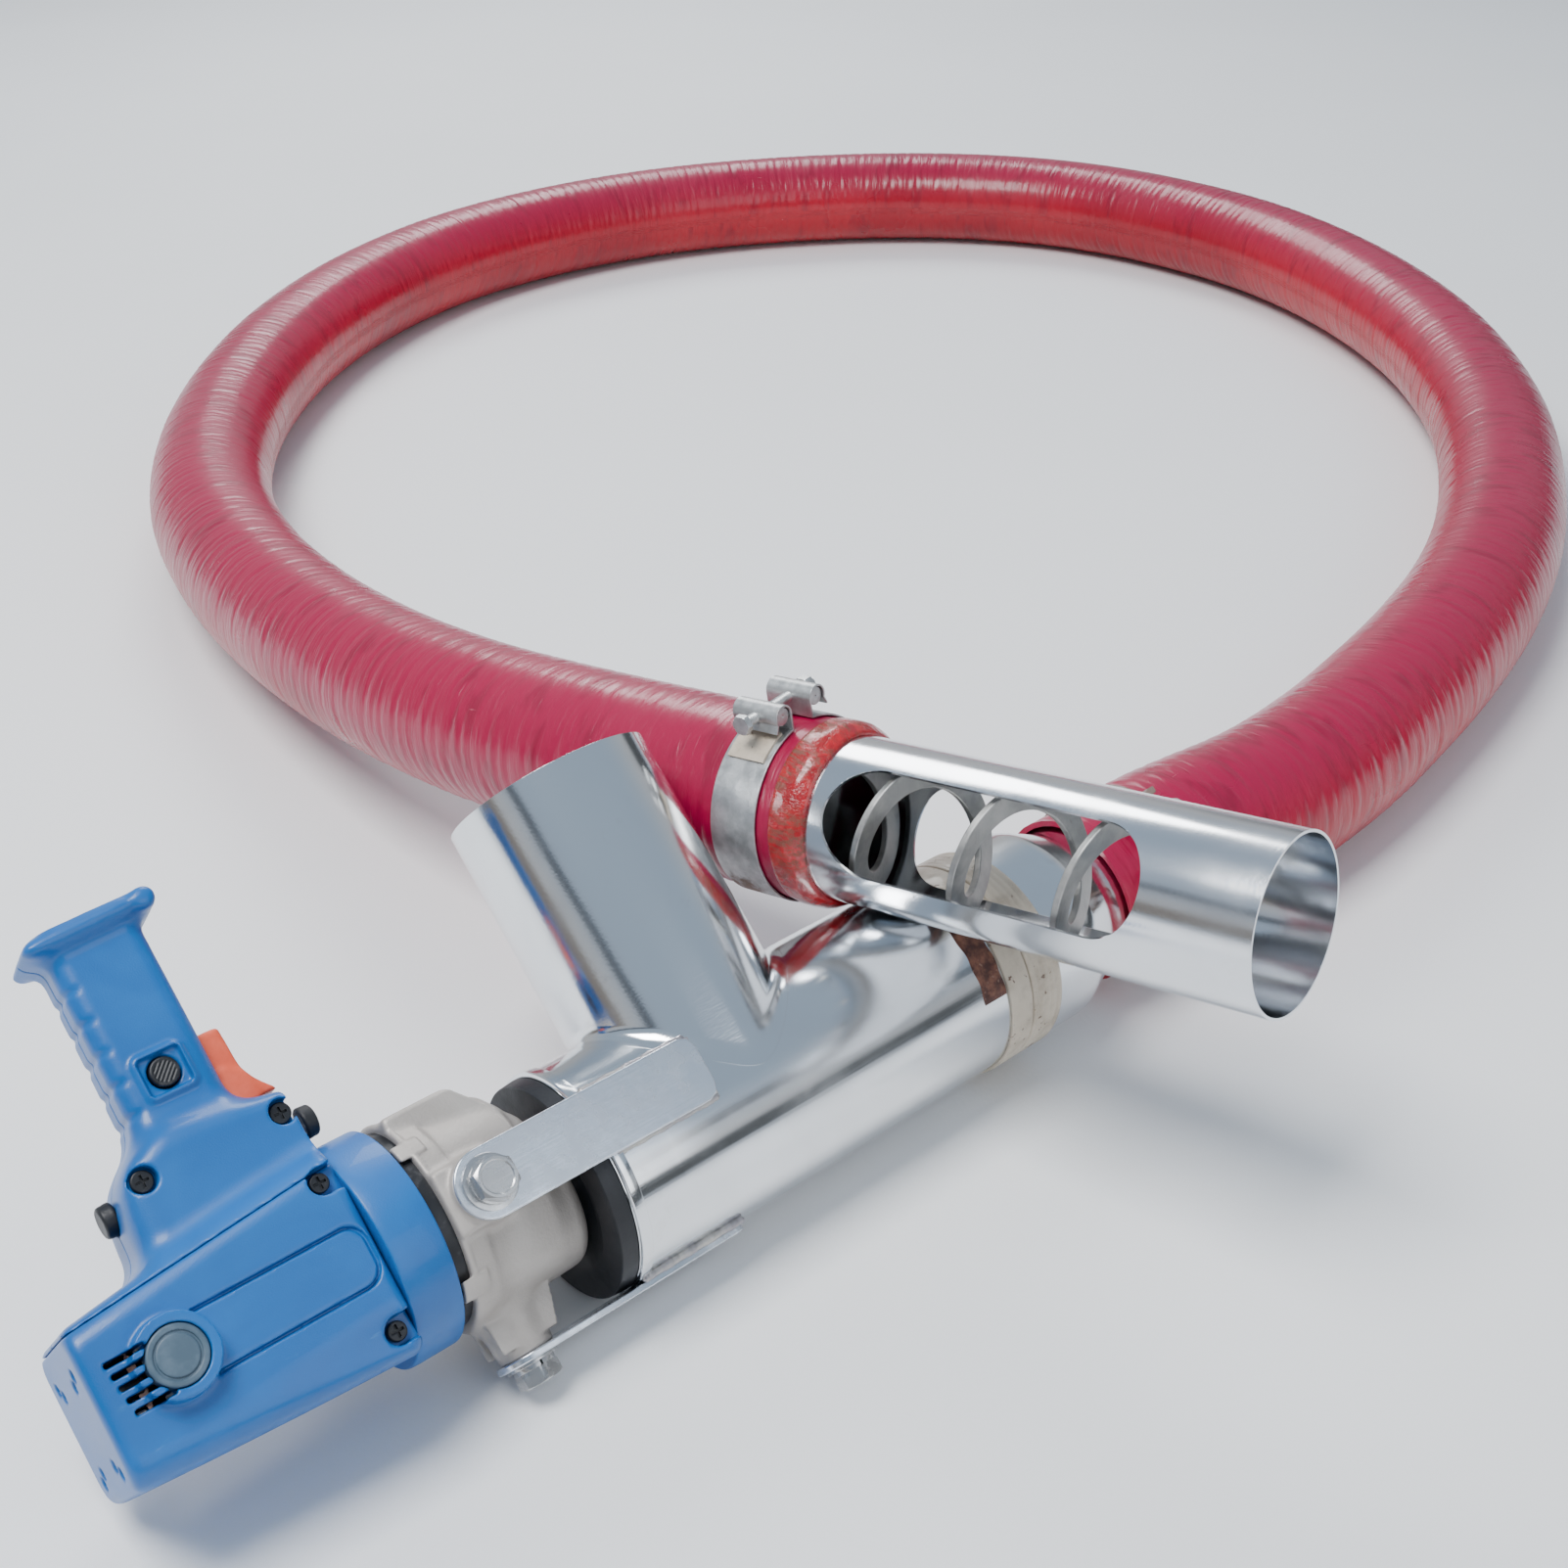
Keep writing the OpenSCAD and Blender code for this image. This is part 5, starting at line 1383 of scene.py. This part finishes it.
def grow_spiral(name, node_name, place, body):
    """Sweeps the bar's section along a level spiral, and puts it where the solid one lies."""
    start, end, angle = spiral_run(frame["nodes"][node_name], place)
    growth = Growth(name, {
        "Steps per turn": 72, "Turns": (end - start) / spiral_pitch, "Radius": spiral_mean_r,
        "Rise": end - start, "Bar width": bar_wide, "Bar thickness": bar_thick,
    })
    radius = growth.size("Radius")
    path = growth.node("GeometryNodeCurveSpiral", {}, {
        "Resolution": growth.size("Steps per turn"), "Rotations": growth.size("Turns"),
        "Start Radius": radius, "End Radius": radius, "Height": growth.size("Rise")})
    level = growth.node("GeometryNodeSetCurveNormal", {"mode": "Z_UP"}, {"Curve": path})
    section = growth.node("GeometryNodeCurvePrimitiveQuadrilateral", {}, {
        "Width": growth.size("Bar width"), "Height": growth.size("Bar thickness")})
    sweep = {"Curve": level, "Profile Curve": section, "Fill Caps": True}
    made = growth.grown(name, growth.node("GeometryNodeCurveToMesh", {}, sweep), bar_steel)
    start_place = place @ shifted(0, 0, start) @ Matrix.Rotation(angle, 4, "Z")
    made.data.set_sharp_from_angle(angle=math.radians(50))
    round_over(made, 0.0009)
    return finish_piece(made, start_place, bar_steel, body, "spiral_steel", node_name)


grow_spiral("head_auger", "head_spiral", along_head, "spindle")
grow_spiral("intake_auger_bar", "intake_spiral", intake_place, "intake_auger")

# ---- Intake tube ------------------------------------------------------------
# The same polished sheet, with two long windows that let the grain in. Their
# round-ended openings are sawn out, so their edges are sharp and bright.
lying = Matrix(((0, 1, 0, 0), (0, 0, 1, 0), (1, 0, 0, 0), (0, 0, 0, 1)))
intake_r, intake_len = 0.0445, 0.330
window_from, window_to = 0.058, 0.240
window_half = (intake_r - steel_wall / 2) * math.sin(math.radians(39.5))
window_turn = math.radians(-148)


def window_opening(s):
    """Half of the angle that a window takes out of the tube at s."""
    inward = min(s - window_from, window_to - s)
    if inward <= 0:
        return 0.0
    half = window_half
    if inward < window_half:
        half = math.sqrt(window_half**2 - (window_half - inward) ** 2)
    return math.asin(half / intake_r)


def make_intake_tube():
    """The tube in two strips, one each side of the windows, with close columns at their ends."""
    ease = [(1 - math.cos(k * math.pi / 40)) * window_half for k in range(21)]
    stations = sorted({
        *np.linspace(0, window_from, 7)[:-1], *[window_from + e for e in ease],
        *np.linspace(window_from + window_half, window_to - window_half, 24)[1:-1],
        *[window_to - e for e in ease], *np.linspace(window_to, intake_len, 9)[1:],
    })
    columns = []
    for s in stations:
        gone = window_opening(s)
        first, last = window_turn + gone, window_turn + math.pi - gone
        columns.append((s, [(first, last), (first + math.pi, last + math.pi)]))
    return slotted_tube("grain_intake_tube", intake_r, columns, 96)


intake_steel = bright_steel("polished_steel_tube", (0.78, 0.80, 0.83), 0.11, (0, 0, 1.38))
intake_tube = thicken(make_intake_tube(), steel_wall)
finish_piece(intake_tube, intake_place @ lying, intake_steel, "root", "polished_steel", "intake_tube")

# ---- Wrap at the hose's end -------------------------------------------------
# Self-bonding red tape closes the step between tube and hose. It is stretched
# on wet and lumpy, so it is glossy, with brown fibres stuck to its upper side.
wrap_lead, wrap_len, wrap_r = 0.007, 0.020, 0.0512


def crumpled_wrap():
    """A turned sleeve that climbs from the tube to the hose, pressed into folds."""
    foot, slope, top = intake_r + 0.0021, wrap_lead * 1.4, wrap_r - 0.0002
    outline = [(0.0002, intake_r + 0.0001), (0.0002, foot)]
    for t in (0.15, 0.3, 0.45, 0.6, 0.75, 0.9, 1):
        outline.append((t * slope, foot + (top - foot) * math.sin(t * math.pi / 2)))
    outline += [(x, top) for x in np.linspace(slope + 0.0016, wrap_len - 0.0012, 7)]
    outline += [(wrap_len - 0.0001, wrap_r - 0.0008), (wrap_len - 0.0001, hose_r + 0.0001)]
    outline += [(wrap_lead, hose_r + 0.0001), (wrap_lead - 0.0002, intake_r + 0.0001)]
    wrap = turned("tape_wrap", outline, 200, crease=60)
    for point in wrap.data.vertices:
        r = math.hypot(point.co.y, point.co.z)
        if r > intake_r + 0.0012:
            x, angle = point.co.x, math.atan2(point.co.z, point.co.y)
            pull = math.sin(9 * angle + x * 420) + 0.7 * math.sin(23 * angle - x * 300)
            fold = 0.5 * math.sin(41 * angle + 3 * math.sin(7 * angle) + x * 900)
            shrink = 1 - (0.00035 - 0.00022 * (pull + fold) / 2.2) / r
            point.co.y *= shrink
            point.co.z *= shrink
    return wrap


def red_tape():
    """Glossy red tape, crumpled in fine folds, with brown fibre and dirt on top."""
    tape = Finish("red_tape")
    folds = tape.noise(110, 4, 0.6, bend=1.4)
    fibre = tape.noise(1.0, 5, 0.7, place=tape.stretched(tape.place, (300, 80, 420), (0.4, 0.2, 0.9)))
    upper = tape.height().between(0.120, 0.155)
    dirt = upper * tape.noise(26, 3).between(0.40, 0.56) * fibre.between(0.42, 0.60)
    red = tape.mix(folds.between(0.3, 0.7), colour(0.26, 0.002, 0.007), colour(0.50, 0.006, 0.012))
    return tape.set({
        "Base Color": tape.mix(dirt * 0.85, red, colour(0.13, 0.060, 0.035)),
        "Roughness": 0.13 + 0.45 * dirt,
        "Coat Weight": 0.7 - 0.6 * dirt,
        "Normal": tape.relief(folds * 0.8 + fibre * 0.2, 0.0016),
    })


wrap_place = intake_place @ shifted(0, 0, hose_on_intake - wrap_lead) @ lying
tape_wrap = finish_piece(crumpled_wrap(), wrap_place, red_tape(), "root", "red_pvc", "hose_end_wrap")

# ---- Hose clamps ------------------------------------------------------------
# Two T-bolt clamps. A steel band's ends fold back round two pins; a bolt through
# both pins draws them together. A small plate is spot-welded beside the bolt.
clamp_w, clamp_t, clamp_r = 0.030, 0.0012, hose_r + 0.0002
pin_r, pin_out, pin_apart = 0.005, 0.060, 0.014
pin_seat = pin_apart / 2 + 0.002 + pin_r
clamp_bolt_r, clamp_bolt_len = 0.003, 0.056
clamp_places = [
    intake_place @ shifted(0, 0, 0.277) @ quarter_turns(-1, "Z"),
    along_head @ shifted(0, 0, 0.2826) @ quarter_turns(1, "Z"),
]
bolt_line = shifted(pin_out, 0, clamp_w / 2) @ quarter_turns(-1, "X")
clamp_flats = 0.010


def ribbon(name, path, thick, low, high):
    """A strip of sheet whose edge follows a path in X and Y, between two heights."""
    line = np.array(path)
    step = np.gradient(line, axis=0)
    normal = np.stack([-step[:, 1], step[:, 0]], 1) / np.linalg.norm(step, axis=1)[:, None]
    inner, outer = line - normal * thick / 2, line + normal * thick / 2
    edges = [(inner, low), (outer, low), (outer, high), (inner, high)]
    rings = np.stack([np.c_[side, np.full(len(line), z)] for side, z in edges], 1)
    return round_over(make_piece(name, rings.reshape(-1, 3), capped(len(line), 4), 30), thick * 0.3)


def clamp_band():
    """The band once round, with both ends lifted and folded over their pins."""
    middle = clamp_r + clamp_t / 2
    fold_r = pin_r + 0.0003 + clamp_t / 2
    lift = math.asin((pin_seat - fold_r) / middle)
    angles = np.linspace(lift, 2 * math.pi - lift, 150)
    arc = [(middle * math.cos(a), middle * math.sin(a)) for a in angles]
    turns = [math.pi * 1.15 * t for t in np.linspace(0, 1, 22)[1:]]

    def fold(side):
        start, level = (arc[0] if side > 0 else arc[-1])[0], side * (pin_seat - fold_r)
        rise = [(start + (pin_out - start) * t, level) for t in (0.35, 0.7, 1)]
        loop = [
            (pin_out + fold_r * math.sin(a), side * (pin_seat - fold_r * math.cos(a))) for a in turns
        ]
        down = [(loop[-1][0] - 0.0022 * k, loop[-1][1] + side * 0.0010 * k) for k in (1, 2)]
        return rise + loop + down

    path = fold(1)[::-1] + arc + fold(-1)
    return ribbon("clamp_band", path, clamp_t, 0, clamp_w)


def clamp_plate():
    """A thin curved plate with eased corners and four spot-weld marks."""
    arc = np.radians(np.linspace(-38, -16, 24))
    r, inset = clamp_r + clamp_t + 0.0008, 0.003
    path = [(r * math.cos(a), r * math.sin(a)) for a in arc]
    pieces = [ribbon("clamp_plate", path, 0.0014, inset, clamp_w - inset)]
    dimple = rounded([
        (-0.0012, 0.0001), (-0.0012, 0.0019), (0.0002, 0.0019), (0.0002, 0.0012),
        (-0.0004, 0.0007), (-0.0004, 0.0001),
    ], 0.0002)
    for angle in (-32, -22):
        for z in (0.009, clamp_w - 0.009):
            turn = Matrix.Rotation(math.radians(angle), 4, "Z") @ shifted(r + 0.0006, 0, z)
            pieces.append(put(lathe("mark", dimple, 24), turn @ quarter_turns(1, "Y")))
    return joined("clamp_plate", pieces)


def clamp_pins():
    """Two round pins with chamfered ends, one in each fold of the band."""
    section = ring_section(0.0012, clamp_w - 0.0012, 0.0002, pin_r, 0.0008)
    pins = [
        put(lathe("pin", section, 40), shifted(pin_out, side * pin_seat, 0)) for side in (-1, 1)
    ]
    return joined("pins", pins)


def clamp_bolt():
    half = clamp_bolt_len / 2
    shank = threaded("shank", clamp_bolt_r, -half, half, 0.001)
    head = hexagon("head", clamp_flats, -half - 0.0039, -half)
    return put(joined("clamp_bolt", [shank, head]), bolt_line)


def clamp_nut():
    low = pin_seat + pin_r + 0.0004
    return put(hexagon("clamp_nut", clamp_flats, low, low + 0.0056, False), bolt_line)


def galvanised():
    """Dull galvanised steel with brown rust creeping up from its lower edges."""
    zinc = Finish("clamp_steel")
    spangle = zinc.noise(120, 4, 0.6)
    rust = zinc.noise(42, 5, 0.68)
    low = 1 - zinc.height().between(0.095, 0.150)
    brown = (rust + low * 0.22).between(0.60, 0.76)
    grey = zinc.mix(spangle.between(0.3, 0.7), colour(0.40, 0.41, 0.41), colour(0.60, 0.61, 0.61))
    return zinc.set({
        "Base Color": zinc.mix(brown * 0.8, grey, colour(0.16, 0.075, 0.038)),
        "Metallic": 0.9 - 0.7 * brown,
        "Roughness": 0.36 + 0.15 * spangle + 0.3 * brown,
        "Normal": zinc.relief(spangle * 0.5 + rust * 0.5, 0.0006),
    })


clamp_zinc = galvanised()
clamp_steel, plate_paint = (clamp_zinc, "clamp_steel"), (enamel, "cream_band")
for make, node, (finish, slot) in [
    (clamp_band, "clamp_bands", clamp_steel), (clamp_plate, "clamp_plates", plate_paint),
    (clamp_pins, "clamp_trunnions", clamp_steel), (clamp_bolt, "clamp_bolts", clamp_steel),
    (clamp_nut, "clamp_nuts", clamp_steel),
]:
    first, second = [put(make(), place) for place in clamp_places]
    first.name, second.name = f"{make.__name__}_at_intake", f"{make.__name__}_at_head"
    pair = joined(make.__name__ + "_pair", [first, second])
    finish_piece(pair, in_place, finish, "root", slot, node)

# ---- Parts inside the drill -------------------------------------------------
# Turned, hobbed, pressed and wound parts that no view shows whole. They keep
# their plain solids, and each gets the finish of its own material.


steels = ["bearings", "spindle", "intermediate_shaft", "drive_coupling", "armature_shaft"]
# each finish: its darker and lighter tone, metallic, roughness, grain, relief, and its parts
for name, dark, light, metal, rough, grain, depth, nodes in [
    ("machined_steel", (0.50, 0.50, 0.51), (0.64, 0.64, 0.65), 1.0, 0.22, 90, 0.0001, steels),
    ("gear_steel", (0.22, 0.22, 0.24), (0.34, 0.34, 0.36), 1.0, 0.34, 120, 0.0001,
     ["output_gear", "intermediate_gear", "coupling_screws"]),
    ("lamination", (0.10, 0.10, 0.11), (0.17, 0.17, 0.18), 0.8, 0.45, 700, 0.0002,
     ["armature_core", "stator", "carbon_brushes"]),
    ("copper", (0.42, 0.13, 0.05), (0.62, 0.24, 0.10), 0.9, 0.32, 500, 0.0003,
     ["commutator", "field_coils"]),
    ("white_plastic", (0.62, 0.60, 0.55), (0.74, 0.72, 0.68), 0.0, 0.42, 60, 0.0001,
     ["cooling_fan"]),
    ("brass_holders", (0.48, 0.33, 0.10), (0.62, 0.44, 0.16), 1.0, 0.28, 90, 0.0001,
     ["brush_holders"]),
]:
    finish = rubbed_finish(name, dark, light, (0.3, 0.7), metal, rough, 0.12, grain, 0.55, depth)
    dress([frame["nodes"][node] for node in nodes], finish)
dress([frame["nodes"][node] for node in ("switch_body", "gear_plate")], black_nylon)

# ---- Floor ------------------------------------------------------------------
# A pale, matt, seamless sheet that runs far beyond the view.
floor_half, floor_gap = 60, 0.0004


def studio_floor():
    paper = Finish("studio_floor")
    clouds = paper.noise(3, 3)
    grain = paper.noise(400, 2)
    return paper.set({
        "Base Color": paper.mix(clouds, colour(0.86, 0.86, 0.86), colour(0.90, 0.90, 0.90)),
        "Roughness": 0.85 + 0.06 * clouds,
        "Specular IOR Level": 0.1,
        "Normal": paper.relief(grain, 0.0001),
    })


floor_corners = [
    (east * floor_half, north * floor_half, -floor_gap)
    for east, north in [(-1, -1), (1, -1), (1, 1), (-1, 1)]
]
floor = make_piece("studio_floor", floor_corners, [(0, 1, 2, 3)])
dress([floor], studio_floor())
floor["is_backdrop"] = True

# ---- Studio light -----------------------------------------------------------
# A soft box overhead and to the left, a weak fill, and a room that is bright
# above and at the horizon, with dark and warm areas for the steel to reflect.
world = bpy.data.worlds.new("studio")
world.use_nodes = True
bpy.context.scene.world = world
room = Tree(world.node_tree)
way = room.node("ShaderNodeTexCoord", output="Generated")
east, north, height = [
    room.node("ShaderNodeSeparateXYZ", {}, {"Vector": way}, axis) for axis in "XYZ"
]
sky = room.mix(height.between(0.10, 0.65), colour(0.95, 0.96, 0.98), colour(0.62, 0.78, 0.98))
hedge = (1 - height.between(0.16, 0.24)) * (1 - (0 - height).between(0.05, 0.3))
shade = hedge * (east * 0.8 - north * 0.6).between(0.20, 0.36)
sky = room.mix(shade * 0.92, sky, colour(0.06, 0.07, 0.08))
beam = height.between(0.40, 0.44) * (1 - height.between(0.50, 0.54))
beam = beam * (0 - east * 0.6 - north * 0.8).between(0.0, 0.2)
sky = room.mix(beam * 0.85, sky, colour(0.08, 0.09, 0.11))
warm = hedge * (0 - east * 0.9 - north * 0.3).between(0.3, 0.6)
sky = room.mix(warm * 0.8, sky, colour(0.26, 0.21, 0.16))
seen = room.node("ShaderNodeLightPath", output="Is Camera Ray")
glow = world.node_tree.nodes["Background"]
room.feed(glow.inputs["Color"], room.mix(seen, sky, colour(0.90, 0.90, 0.90)))
glow.inputs["Strength"].default_value = 0.58


def soft_box(name, place, aim, width, power, tint=(1, 1, 1)):
    """A square area light that faces a point."""
    lamp = bpy.data.lights.new(name, "AREA")
    lamp.size = width
    lamp.energy = power
    lamp.color = tint
    holder = bpy.data.objects.new(name, lamp)
    holder.location = place
    holder.rotation_euler = (Vector(aim) - Vector(place)).to_track_quat("-Z", "Y").to_euler()
    bpy.context.scene.collection.objects.link(holder)


soft_box("key_box", (-0.9, 0.2, 2.6), (0.2, 0.3, 0), 1.3, 95)
soft_box("fill_box", (0.4, -2.6, 1.6), (0.2, 0.2, 0), 1.8, 22, (0.93, 0.96, 1))
soft_box("back_box", (1.8, 2.8, 2.2), (0.4, 0.4, 0), 1.4, 60)

# ---- Size -------------------------------------------------------------------
low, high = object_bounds()
